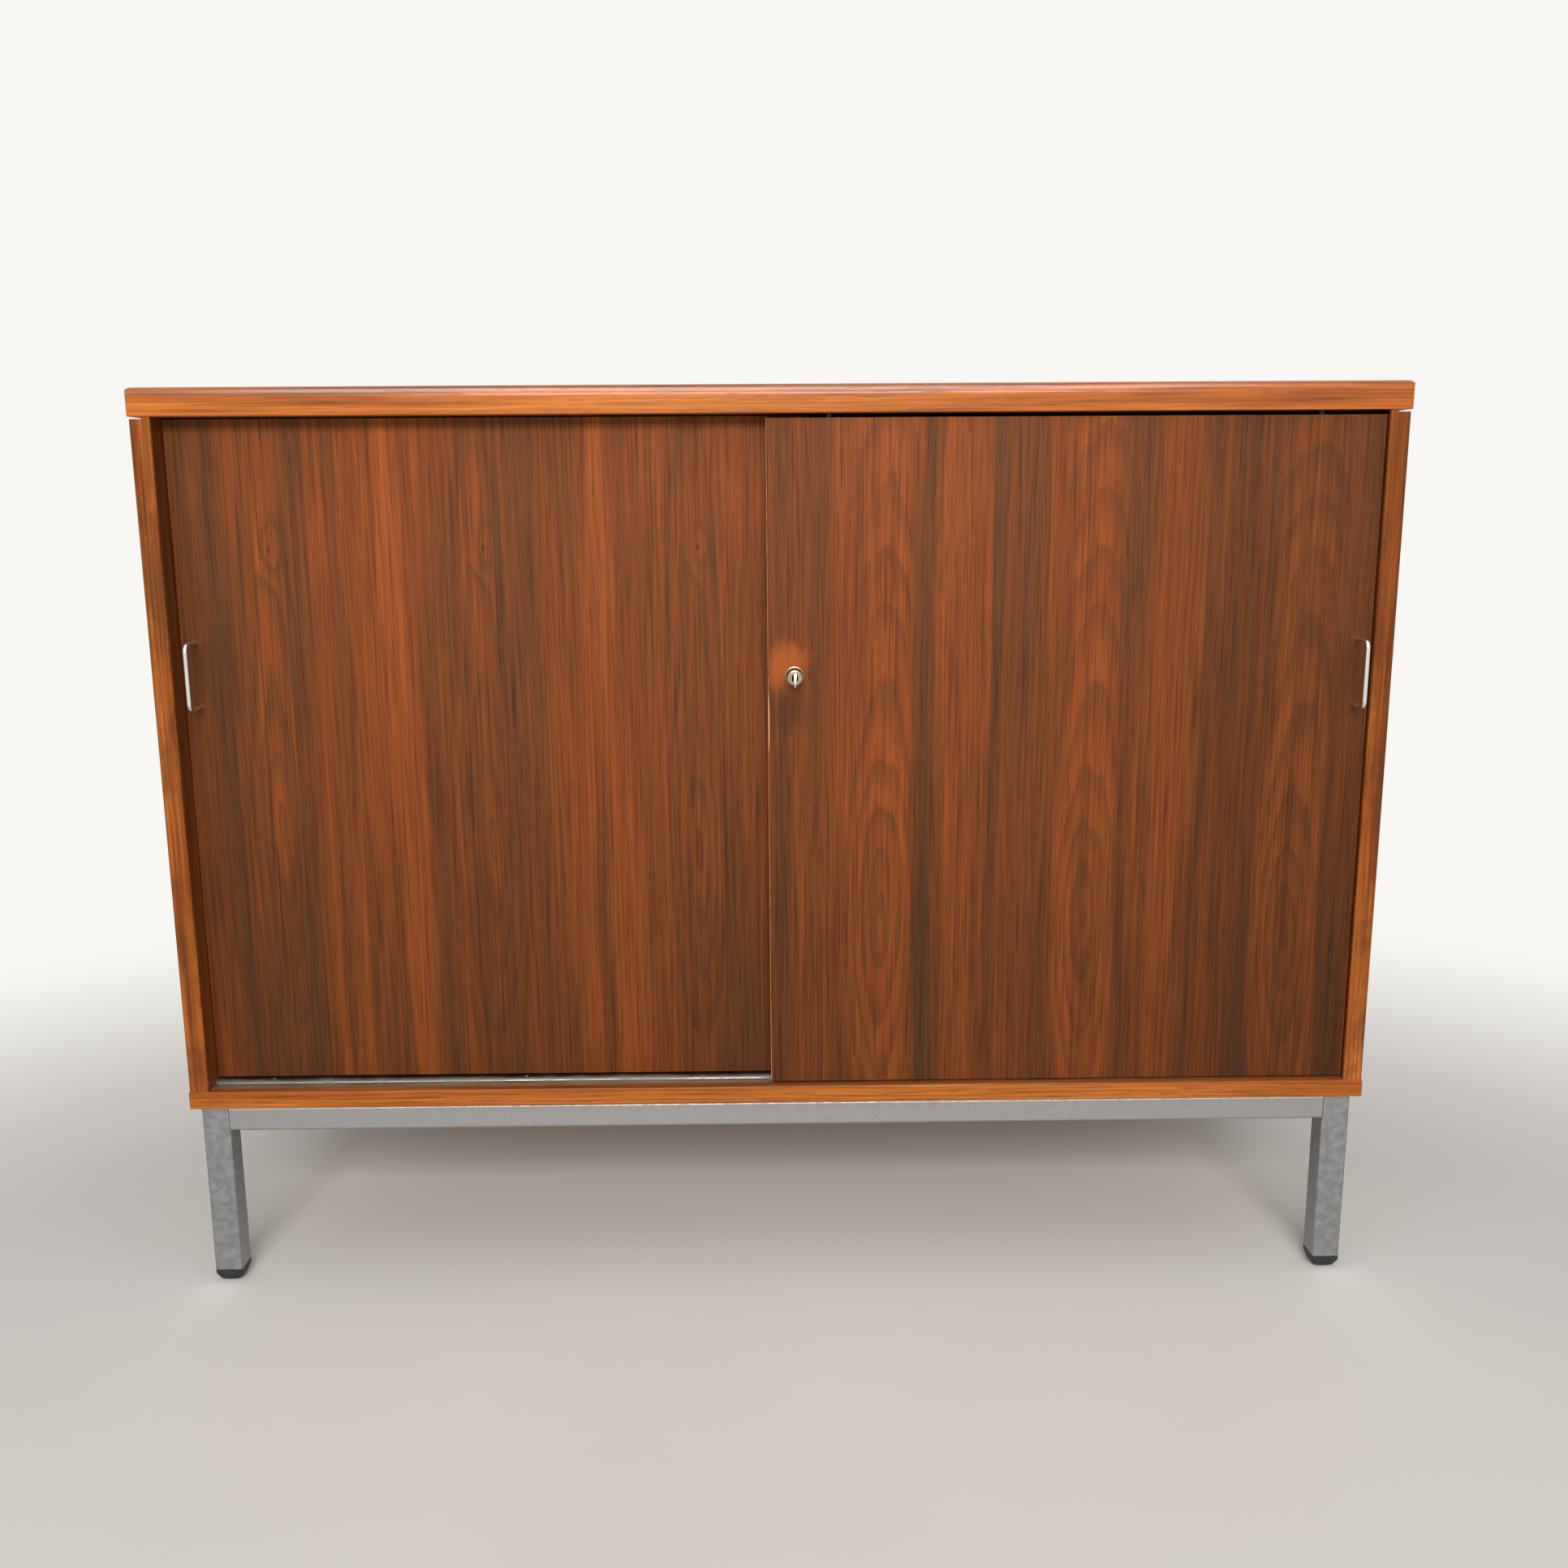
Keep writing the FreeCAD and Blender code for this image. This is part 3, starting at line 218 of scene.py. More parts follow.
class Net:
    """Short calls that add nodes to a tree and join them."""

    def __init__(self, tree):
        self.tree = tree

    def node(self, kind, inputs=(), **settings):
        """A node with its settings, and with its inputs set or joined."""
        made = self.tree.nodes.new(kind)
        for name, value in settings.items():
            setattr(made, name, value)
        for name, value in dict(inputs).items():
            self.feed(made.inputs[name], value)
        return made

    def feed(self, socket, value):
        """Join an output to an input, or set the input's own value."""
        if isinstance(value, bpy.types.NodeSocket):
            self.tree.links.new(value, socket)
        elif socket.type == "RGBA":
            socket.default_value = (*value, 1.0)
        else:
            socket.default_value = value

    def calc(self, operation, *values, clamp=False):
        """The result of a Math node."""
        inputs = dict(enumerate(values))
        return self.node("ShaderNodeMath", inputs, operation=operation, use_clamp=clamp).outputs[0]

    def plus(self, first, second, clamp=False):
        return self.calc("ADD", first, second, clamp=clamp)

    def less(self, first, second):
        return self.calc("SUBTRACT", first, second)

    def times(self, first, second):
        return self.calc("MULTIPLY", first, second)

    def over(self, first, second):
        return self.calc("DIVIDE", first, second)

    def times_plus(self, first, second, third, clamp=False):
        return self.calc("MULTIPLY_ADD", first, second, third, clamp=clamp)

    def centred(self, noise):
        """Noise moved to swing about zero."""
        return self.less(noise, 0.5)

    def distance(self, first, second):
        """Length of a step from its two legs."""
        squares = [self.calc("POWER", leg, 2.0) for leg in (first, second)]
        return self.calc("SQRT", self.plus(*squares))

    def point(self, x, y, z):
        return self.node("ShaderNodeCombineXYZ", {"X": x, "Y": y, "Z": z}).outputs[0]

    def split(self, place):
        return tuple(self.node("ShaderNodeSeparateXYZ", {0: place}).outputs)

    def noise(self, place, scale=1.0, detail=2.0, roughness=0.5):
        inputs = {"Vector": place, "Scale": scale, "Detail": detail, "Roughness": roughness}
        return self.node("ShaderNodeTexNoise", inputs).outputs["Fac"]

    def drawn(self, across, layer, along, stretch, **look):
        """Noise drawn out with the grain, by its scales across and along it."""
        across_scale, along_scale = stretch
        place = self.point(self.times(across, across_scale), layer, self.times(along, along_scale))
        return self.noise(place, **look)

    def between(self, value, low, high):
        """Rises smoothly from 0 at low to 1 at high."""
        inputs = {"Value": value, "From Min": low, "From Max": high}
        made = self.node("ShaderNodeMapRange", inputs, interpolation_type="SMOOTHSTEP")
        return made.outputs["Result"]

    def mix(self, amount, first, second, kind="MIX"):
        """One colour laid over another by an amount."""
        made = self.node("ShaderNodeMix", {"Factor": amount}, data_type="RGBA", blend_type=kind)
        below, above = [socket for socket in made.inputs if socket.type == "RGBA"]
        self.feed(below, first)
        self.feed(above, second)
        return [socket for socket in made.outputs if socket.type == "RGBA"][0]

    def shaded(self, face, shade):
        """A colour multiplied by another."""
        return self.mix(1.0, face, shade, "MULTIPLY")

    def ramp(self, value, *stops):
        """A colour read between stops, each with its position and its colour."""
        made = self.node("ShaderNodeValToRGB", {0: value})
        elements = made.color_ramp.elements
        while len(elements) < len(stops):
            elements.new(1.0)
        for element, (position, shade) in zip(elements, stops):
            element.position = position
            element.color = (*shade, 1.0)
        return made.outputs["Color"]

    def group(self, tree, **values):
        """Outputs of a shader group, with underscores for the spaces in its inputs' names."""
        inputs = {name.replace("_", " "): value for name, value in values.items()}
        return self.node("ShaderNodeGroup", inputs, node_tree=tree).outputs


def new_tree(name, kind, inputs, outputs):
    """An empty node group: a net for its nodes, what goes in and what comes out."""
    tree = bpy.data.node_groups.new(name, kind)
    for way, sockets in (("INPUT", inputs), ("OUTPUT", outputs)):
        for label, content in sockets.items():
            tree.interface.new_socket(label, in_out=way, socket_type=f"NodeSocket{content}")
    net = Net(tree)
    return net, net.node("NodeGroupInput").outputs, net.node("NodeGroupOutput").inputs


def shader_group(name, inputs, outputs):
    """An empty shader group with number sockets in and out."""
    inputs, outputs = (dict.fromkeys(labels, "Float") for labels in (inputs, outputs))
    return new_tree(name, "ShaderNodeTree", inputs, outputs)


def built(maker):
    """A shader group, made on its first use and named for its maker."""
    return bpy.data.node_groups.get(maker.__name__) or maker(maker.__name__)


def fine_lines(net, given, across_scale, along_scale, **look):
    """Noise in fine lines that run with the grain."""
    scales = {"Across": across_scale, "Depth": across_scale, "Along": along_scale}
    place = net.point(*(net.times(given[way], scale) for way, scale in scales.items()))
    return net.noise(place, **look)


def feed_pores(net, given, wanted):
    """Fibres, and dark dashes where pores are cut open."""
    fibres = fine_lines(net, given, 480.0, along_scale=9.0, detail=4.0, roughness=0.68)
    net.feed(wanted["Fibre"], fibres)
    dashes = fine_lines(net, given, 900.0, along_scale=34.0, detail=1.0)
    net.feed(wanted["Pore"], net.between(dashes, low=0.6, high=0.74))


def ring_profile(net, rings):
    """Dark towards the end of each ring, with a sharper outer edge."""
    part = net.calc("FRACT", rings)
    late_wood, darkest = 0.25, 0.88
    rise, fall = net.between(part, late_wood, darkest), net.between(part, darkest, 1.0)
    return net.calc("SUBTRACT", rise, fall, clamp=True)


def cathedral_grain(name):
    """Veneer leaves laid side by side, each cut through the rings of a leaning log."""
    places = ("Across", "Depth", "Along")
    leaves = ("Leaf Width", "Leaf Start", "Ring Spacing", "Crown", "Slope", "Lift", "Knot", "Seed")
    net, given, wanted = shader_group(
        name, places + leaves, ("Ring", "Band", "Fibre", "Pore", "Leaf", "Knot")
    )
    seed, along = given["Seed"], given["Along"]

    # Each leaf is cut a little further into the log, so its figure is shifted.
    ring_shift, band_shift, slip = 0.13, 0.22, 0.006
    turn = net.over(net.less(given["Across"], given["Leaf Start"]), given["Leaf Width"])
    leaf = net.calc("FLOOR", turn)
    local = net.times(net.centred(net.calc("FRACT", turn)), given["Leaf Width"])
    step = net.times_plus(leaf, ring_shift, seed)
    turned = net.times_plus(leaf, band_shift, seed)
    slipped = net.times_plus(leaf, slip, along)

    # The log's heart sways to the side and leans away from the cut.
    sway_width, sway_scale, lean_depth, lean_scale, lean_seed = 0.05, 1.5, 0.07, 2.4, 7.3
    sway = net.noise(net.point(step, seed, net.times(slipped, sway_scale)), detail=2.5)
    aside = net.times_plus(net.centred(sway), sway_width, local)
    lean_place = net.point(net.plus(seed, lean_seed), step, net.times(slipped, lean_scale))
    lean = net.noise(lean_place, detail=1.0)
    tilt = net.times(net.less(slipped, given["Crown"]), given["Slope"])
    below = net.times_plus(net.centred(lean), lean_depth, tilt)

    # Rings bend round a knot.
    knot_offset, knot_squeeze, knot_reach, knot_bend = 0.008, 2.6, 0.05, 0.012
    knot_aside = net.times(net.less(aside, knot_offset), knot_squeeze)
    knot_far = net.distance(knot_aside, net.less(along, given["Knot"]))
    below = net.times_plus(net.between(knot_far, knot_reach, 0.0), knot_bend, below)

    # Rings are strongest in the middle of a leaf and fade in clouds.
    heart_edge, heart_middle, wiggle_width, least = 0.042, 0.02, 1.15, 0.2
    reach = net.distance(aside, below)
    wiggle = net.drawn(local, step, slipped, (45.0, 3.0), detail=3.0)
    rings = net.times_plus(wiggle, wiggle_width, net.over(reach, given["Ring Spacing"]))
    heart = net.between(net.calc("ABSOLUTE", aside), heart_edge, heart_middle)
    clouds = net.between(net.drawn(local, step, slipped, (22.0, 6.0)), low=0.1, high=0.6)
    strength = net.times(net.times_plus(heart, 1.0 - least, least), clouds)
    net.feed(wanted["Ring"], net.times(ring_profile(net, rings), strength))

    # Bands of colour follow the grain, and arch over the heart.
    arch_share, arch_gain, fine_gain, heart_mean = 0.6, 1.6, 1.2, 0.4
    zones = net.drawn(aside, turned, slipped, (19.0, 0.6), roughness=0.55)
    arches = net.drawn(reach, turned, slipped, (48.0, 0.8), roughness=0.6)
    fine = net.drawn(local, turned, slipped, (210.0, 3.5), detail=4.0, roughness=0.68)
    arched = net.times(net.less(arches, zones), net.times(heart, arch_share))
    band = net.times_plus(arched, arch_gain, net.between(zones, low=0.26, high=0.74))
    band = net.times_plus(net.centred(fine), fine_gain, band)
    lifted = net.times_plus(net.less(heart, heart_mean), given["Lift"], band, clamp=True)
    net.feed(wanted["Band"], lifted)

    feed_pores(net, given, wanted)
    chance = net.node("ShaderNodeTexWhiteNoise", {"W": step}, noise_dimensions="1D")
    net.feed(wanted["Leaf"], chance.outputs["Value"])
    knot_edge, knot_core = 0.0062, 0.001
    net.feed(wanted["Knot"], net.between(knot_far, knot_edge, knot_core))
    return net.tree


def straight_grain(name):
    """Long, slightly wandering rings of a solid strip or a plain board."""
    net, given, wanted = shader_group(
        name,
        ("Across", "Depth", "Along", "Ring Spacing", "Wander", "Seed"),
        ("Ring", "Band", "Fibre", "Pore"),
    )
    seed, along = given["Seed"], given["Along"]
    slant, wave_gain = 0.8, 4.0
    wave = net.drawn(given["Across"], seed, along, (9.0, 2.4), detail=3.0)
    moved = net.times(net.centred(wave), given["Wander"])
    slanted = net.times_plus(given["Depth"], slant, given["Across"])
    rings = net.over(net.times_plus(moved, wave_gain, slanted), given["Ring Spacing"])
    net.feed(wanted["Ring"], ring_profile(net, rings))
    streaks = net.drawn(slanted, seed, along, (38.0, 1.6), detail=3.0, roughness=0.6)
    net.feed(wanted["Band"], net.between(streaks, low=0.28, high=0.72))
    feed_pores(net, given, wanted)
    return net.tree


def wear_and_shade_patch(name):
    """A soft-edged patch round one place, where hands have rubbed the finish, and also for painted
    shade along an edge.
    """
    net, given, wanted = shader_group(
        name,
        ("Across", "Along", "Middle Across", "Middle Along", "Reach", "Stretch", "Seed"),
        ("Mask",),
    )
    across, along = given["Across"], given["Along"]
    raggedness, outer, inner = 1.1, 1.0, 0.1
    aside = net.less(across, given["Middle Across"])
    up = net.times(net.less(along, given["Middle Along"]), given["Stretch"])
    far = net.over(net.distance(aside, up), given["Reach"])
    ragged = net.drawn(across, given["Seed"], along, (55.0, 17.0), detail=3.0, roughness=0.6)
    edge = net.times_plus(net.centred(ragged), raggedness, far)
    net.feed(wanted["Mask"], net.between(edge, outer, inner))
    return net.tree


def mottle(name):
    """Patches, spots and fine drawn lines on a metal or plastic face."""
    net, given, wanted = shader_group(
        name,
        ("Across", "Depth", "Along", "Patch", "Spot", "Line", "Seed"),
        ("Patches", "Spots", "Lines"),
    )
    shifted = net.point(net.plus(given["Across"], given["Seed"]), given["Depth"], given["Along"])
    patches = net.noise(shifted, given["Patch"], detail=4.0, roughness=0.62)
    net.feed(wanted["Patches"], net.between(patches, low=0.34, high=0.68))
    spots = net.noise(shifted, given["Spot"])
    net.feed(wanted["Spots"], net.between(spots, low=0.62, high=0.76))
    lines = fine_lines(net, given, given["Line"], along_scale=6.0, detail=1.0)
    net.feed(wanted["Lines"], lines)
    return net.tree


def new_finish(name, axes):
    """A material with a principled shader: its net, the shader's inputs and the grain's places."""
    material = bpy.data.materials.new(name)
    material.use_nodes = True
    net = Net(material.node_tree)
    net.tree.nodes.clear()
    shader = net.node("ShaderNodeBsdfPrincipled")
    net.node("ShaderNodeOutputMaterial", {"Surface": shader.outputs[0]})
    object_places = net.split(net.node("ShaderNodeTexCoord").outputs["Object"])
    by_axis = dict(zip(upright, object_places))
    places = {way: by_axis[axis] for way, axis in zip(("Across", "Depth", "Along"), axes)}
    return material, net, shader.inputs, places


def relief(net, inputs, height, distance, strength):
    """Fine relief under the light, without a change of shape."""
    bump = {"Height": height, "Distance": distance, "Strength": strength}
    net.feed(inputs["Normal"], net.node("ShaderNodeBump", bump).outputs[0])


def wood_colour(net, grain, colours, ring_share, pore_share):
    """Colour of a wood face from its bands, rings, fibres and pores."""
    dark, middle, light, pore = (tuple(shade) for shade in colours)
    face = net.ramp(grain["Band"], (0.08, dark), (0.5, middle), (0.95, light))
    face = net.mix(net.times(grain["Ring"], ring_share), face, dark)
    dark_fibre, light_fibre = (0.48, 0.47, 0.46), (1.3, 1.3, 1.3)
    fibre = net.ramp(grain["Fibre"], (0.3, dark_fibre), (0.5, white), (0.72, light_fibre))
    face = net.shaded(face, fibre)
    return net.mix(net.times(grain["Pore"], pore_share), face, pore)


def wood_sheen(net, inputs, grain, roughness, pore_depth, gloss):
    """Roughness and relief of an oiled wood face."""
    pore_dullness, fibre_dullness, fibre_height = 0.2, 0.1, 0.5
    net.feed(inputs["Specular IOR Level"], gloss)
    dull = net.times_plus(grain["Pore"], pore_dullness, roughness)
    net.feed(inputs["Roughness"], net.times_plus(grain["Fibre"], fibre_dullness, dull))
    open_pores = net.less(net.times(grain["Fibre"], fibre_height), grain["Pore"])
    relief(net, inputs, open_pores, pore_depth, strength=0.5)


def raw_core(net, places, face, level):
    """The chips of the board's core, on the raw edge behind a level."""
    core = tuple(bpy.context.scene.cabinet_inside.core)
    place = net.point(places["Across"], places["Along"], places["Depth"])
    chips = net.noise(place, scale=420.0, detail=3.0, roughness=0.7)
    chip_tone = net.ramp(chips, (0.32, scaled(core, 0.42)), (0.5, core), (0.68, scaled(core, 1.3)))
    return net.mix(net.calc("GREATER_THAN", places["Across"], level), face, chip_tone)


def veneer_finish(name, axes, figure, patches=(), shades=(), raw_edge=None):
    """Walnut veneer with its own run of leaves, tinted in patches and darker towards some edges."""
    wanted = bpy.context.scene.cabinet_veneer
    material, net, inputs, places = new_finish(name, axes)
    grain = net.group(
        built(cathedral_grain),
        **places,
        Leaf_Width=wanted.leaf_width,
        Leaf_Start=figure.leaf_start,
        Ring_Spacing=wanted.ring_spacing,
        Crown=figure.crown,
        Slope=figure.slope,
        Lift=figure.lift,
        Knot=figure.knot,
        Seed=figure.seed,
    )
    colours = (wanted.dark, wanted.middle, wanted.light, wanted.pore)
    face = wood_colour(net, grain, colours, figure.ring_share, pore_share=0.35)
    spread, blue_share, green_share = figure.leaf_spread, 0.8, 0.7
    dark_leaf = (1.0 - spread, 1.0 - spread, 1.0 - blue_share * spread)
    pale_leaf = (1.0 + spread, 1.0 + green_share * spread, 1.0)
    leaf_tone = net.ramp(grain["Leaf"], (0.0, dark_leaf), (0.5, white), (1.0, pale_leaf))
    face = net.shaded(face, leaf_tone)
    knot_share, knot_tone = 0.75, scaled(wanted.pore, 0.8)
    face = net.mix(net.times(grain["Knot"], knot_share), face, knot_tone)
    for patch in patches:
        mask = net.group(
            built(wear_and_shade_patch),
            Across=places["Across"],
            Along=places["Along"],
            Middle_Across=patch.across,
            Middle_Along=patch.along,
            Reach=patch.reach,
            Stretch=patch.stretch,
            Seed=figure.seed,
        )["Mask"]
        face = net.mix(net.times(mask, patch.strength), face, patch.tint)
    for shade in shades:
        clear = net.between(places[shade.way], shade.dark_end, shade.clear_end)
        darkest = scaled(white, shade.share_left)
        face = net.shaded(face, net.ramp(clear, (0.0, darkest), (1.0, white)))
    if raw_edge is not None:
        face = raw_core(net, places, face, raw_edge)
    net.feed(inputs["Base Color"], face)
    wood_sheen(net, inputs, grain, wanted.roughness, pore_depth=0.0003, gloss=oil_gloss)
    return material


def stained_face(net, places, face, seed, stain):
    """Dark patches up to a height, above which the wood is clean."""
    across, along = places["Across"], places["Along"]
    cloud = net.drawn(across, seed, along, (20.0, 12.0), detail=4.0, roughness=0.6)
    patches = net.between(cloud, low=0.44, high=0.6)
    spread = net.times(net.between(along, stain.clean_from, stain.stained_to), stain.strength)
    return net.mix(net.times(patches, spread), face, tuple(stain.tint))


def rubbed_corner(net, places, face, seed, rubbed):
    """A ragged pale line on one corner, wider where the corner is chipped."""
    along, along_scale = places["Along"], 60.0
    line_width, chip_width, chip_end, chip_middle, bare_share = 0.0011, 0.0014, 0.034, 0.012, 0.4
    place = net.point(0.0, seed, net.times(along, along_scale))
    ragged = net.noise(place, detail=3.0, roughness=0.6)
    chip_far = net.calc("ABSOLUTE", net.less(along, rubbed.chip))
    chipped = net.between(chip_far, chip_end, chip_middle)
    width = net.times_plus(chipped, chip_width, net.times(ragged, line_width))
    aside = net.less(places["Across"], rubbed.across)
    behind = net.less(places["Depth"], rubbed.depth)
    inwards = net.calc("MAXIMUM", aside, behind)
    pale = net.between(inwards, width, net.times(width, bare_share))
    return net.mix(pale, face, tuple(rubbed.tint))


def veneered_ends(net, places, face, seed, ends):
    """Outer veneer on a board's two ends, past a level."""
    streaks = net.drawn(places["Across"], seed, places["Depth"], (24.0, 260.0), detail=3.0)
    veneer = net.ramp(streaks, (0.36, tuple(ends.dark)), (0.64, tuple(ends.light)))
    past = net.calc("GREATER_THAN", net.calc("ABSOLUTE", places["Along"]), ends.level)
    return net.mix(past, face, veneer)


def plain_wood(
    name, axes, colours, rings, roughness, seed, gloss=oil_gloss, raw_edge=None, **marks
):
    """Solid or plain-sawn wood with long rings, and with a stain, a rubbed corner or ends."""
    material, net, inputs, places = new_finish(name, axes)
    sizes = {"Ring_Spacing": rings.spacing, "Wander": rings.wander}
    grain = net.group(built(straight_grain), **places, **sizes, Seed=seed)
    face = wood_colour(net, grain, colours, rings.share, pore_share=0.45)
    makers = {"stain": stained_face, "rubbed": rubbed_corner, "ends": veneered_ends}
    for kind, mark in marks.items():
        face = makers[kind](net, places, face, seed, mark)
    if raw_edge is not None:
        face = raw_core(net, places, face, raw_edge)
    net.feed(inputs["Base Color"], face)
    wood_sheen(net, inputs, grain, roughness, pore_depth=0.00012, gloss=gloss)
    return material


def fibre_finish(name, board):
    """Pressed fibre board with a soft, cloudy face."""
    material, net, inputs, places = new_finish(name, upright)
    place = net.point(*places.values())
    fluff = net.noise(place, scale=520.0, detail=4.0, roughness=0.7)
    shade = net.ramp(fluff, (0.3, scaled(board, 0.62)), (0.5, board), (0.7, scaled(board, 1.25)))
    clouds = net.noise(place, scale=7.0, detail=3.0)
    cloud = net.ramp(clouds, (0.3, scaled(white, 0.86)), (0.7, white))
    net.feed(inputs["Base Color"], net.shaded(shade, cloud))
    roughness, fluff_dullness = 0.6, 0.2
    net.feed(inputs["Roughness"], net.times_plus(fluff, fluff_dullness, roughness))
    relief(net, inputs, fluff, distance=0.0002, strength=0.4)
    return material


def mottled(net, places, marks):
    """Patches, spots and lines of a face, from their sizes."""
    patch, spot, line, seed = marks
    return net.group(built(mottle), **places, Patch=patch, Spot=spot, Line=line, Seed=seed)


def metal_finish(
    name, axes, clean, stained, marks, roughness, stain_share=0.6, line_depth=0.00004, painted_shade=None
):
    """Metal with dull patches, spots and drawn lines, and painted shade in its depth or round a
    bore.
    """
    material, net, inputs, places = new_finish(name, axes)
    spot_share, spot_tone = 0.35, scaled(stained, 0.35)
    patch_dullness, spot_dullness = 0.16, 0.2
    found = mottled(net, places, marks)
    face = net.mix(net.times(found["Patches"], stain_share), tuple(clean), tuple(stained))
    face = net.mix(net.times(found["Spots"], spot_share), face, spot_tone)
    # Painted shade: the face is made darker in its depth, or towards a bore.
    if painted_shade is not None:
        reach = places["Along"]
        if painted_shade.bore is not None:
            aside = net.less(places["Across"], painted_shade.bore.x)
            reach = net.distance(aside, net.less(places["Depth"], painted_shade.bore.z))
        face = net.mix(net.between(reach, painted_shade.start, painted_shade.end), face, painted_shade.tint)
    net.feed(inputs["Base Color"], face)
    net.feed(inputs["Metallic"], 1.0)
    dull = net.times_plus(found["Patches"], patch_dullness, roughness)
    net.feed(inputs["Roughness"], net.times_plus(found["Spots"], spot_dullness, dull))
    relief(net, inputs, found["Lines"], line_depth, strength=0.4)
    return material


def plastic_finish(name, base, roughness, seed):
    """Moulded plastic with a fine skin and faint scuffs."""
    material, net, inputs, places = new_finish(name, upright)
    found = mottled(net, places, Marks(patch=60.0, spot=700.0, line=900.0, seed=seed))
    patch_share, spot_share, patch_dullness, fading, bloom = 0.4, 0.3, 0.14, 1.5, 0.012
    worn = tuple(min(1.0, fading * value + bloom) for value in base)
    face = net.mix(net.times(found["Patches"], patch_share), tuple(base), worn)
    face = net.mix(net.times(found["Spots"], spot_share), face, scaled(base, 0.6))
    net.feed(inputs["Base Color"], face)
    net.feed(inputs["Roughness"], net.times_plus(found["Patches"], patch_dullness, roughness))
    relief(net, inputs, found["Spots"], distance=0.00005, strength=0.35)
    return material


def dress(material, *names):
    """Give CAD pieces a finish."""
    for name in names:
        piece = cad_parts[name]
        if not piece.material_slots:
            piece.data.materials.append(material)
        for slot in piece.material_slots:
            slot.material = material


def middle_of(name):
    """Middle of a CAD piece's box."""
    low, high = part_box(name)
    return (low + high) / 2


def back_edge():
    """Level just inside the boards' raw back edges."""
    skin = 0.0002
    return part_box("back_panel")[1].y - skin


class CABINET_OT_veneer(bpy.types.Operator):
    """Lay walnut veneer on the top, the sides and the doors"""

    bl_idname = "cabinet.veneer"
    bl_label = "Veneer the boards"

    def execute(self, context):
        wanted = context.scene.cabinet_veneer
        self.cover_doors(orange=scaled(wanted.light, 1.6), grey=scaled(wanted.dark, 0.8))
        self.cover_carcass()
        return {"FINISHED"}

    def cover_doors(self, orange, grey):
        lock, front_pull, rear_pull = (
            middle_of(name) for name in ("lock_housing", "front_door_pull", "rear_door_pull")
        )
        low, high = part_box("front_door_panel")
        clear_strip = 0.2
        # Painted shade: both doors' veneer is made darker towards the foot, where less light falls.
        painted_foot_shade = Shade("Along", dark_end=low.z, clear_end=high.z, share_left=0.68)
        right = Shade("Across", dark_end=high.x, clear_end=low.x + clear_strip, share_left=0.8)
        front_figure = Figure(
            leaf_start=0.004,
            leaf_spread=0.2,
            crown=0.42,
            slope=0.14,
            lift=0.5,
            ring_share=0.5,
            knot=9.0,
            seed=3.1,
        )
        front_patches = (
            Patch(orange, lock.x - 0.014, lock.z + 0.006, reach=0.026, stretch=0.8, strength=0.85),
            Patch(orange, lock.x + 0.001, lock.z + 0.015, reach=0.02, stretch=1.0, strength=0.7),
            Patch(grey, lock.x - 0.006, lock.z - 0.034, reach=0.032, stretch=0.9, strength=0.6),
            Patch(grey, front_pull.x - 0.012, front_pull.z, reach=0.05, stretch=0.6, strength=0.3),
        )
        front = veneer_finish(
            "front_door_veneer", upright, front_figure, front_patches, (painted_foot_shade, right)
        )
        dress(front, "front_door_panel")
        rear_figure = Figure(
            leaf_start=-0.592,
            leaf_spread=0.15,
            crown=0.5,
            slope=0.09,
            lift=-0.25,
            ring_share=0.62,
            knot=0.757,
            seed=11.7,
        )
        rear_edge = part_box("rear_door_panel")[0].x
        rear_patches = (
            # Painted shade: a grey patch drawn out along the rear door's left edge, in the shadow
            # of the side.
            Patch(grey, rear_edge, rear_pull.z, reach=0.07, stretch=0.12, strength=0.5),
            Patch(grey, rear_pull.x + 0.01, rear_pull.z, reach=0.05, stretch=0.6, strength=0.3),
        )
        rear = veneer_finish("rear_door_veneer", upright, rear_figure, rear_patches, (painted_foot_shade,))
        dress(rear, "rear_door_panel")

    def cover_carcass(self):
        plain = Figure(
            leaf_start=-0.19,
            leaf_spread=0.1,
            crown=0.1,
            slope=0.08,
            lift=0.2,
            ring_share=0.45,
            knot=0.9,
            seed=21.3,
        )
        edge = back_edge()
        dress(veneer_finish("top_veneer", flat_grain, plain, raw_edge=edge), "top_panel")
        for hand, seed in (("left", 31.9), ("right", 43.2)):
            figure = plain._replace(leaf_start=-0.205, crown=0.5, knot=0.31, seed=seed)
            side = veneer_finish(f"{hand}_side_veneer", side_grain, figure, raw_edge=edge)
            dress(side, f"{hand}_side_panel")


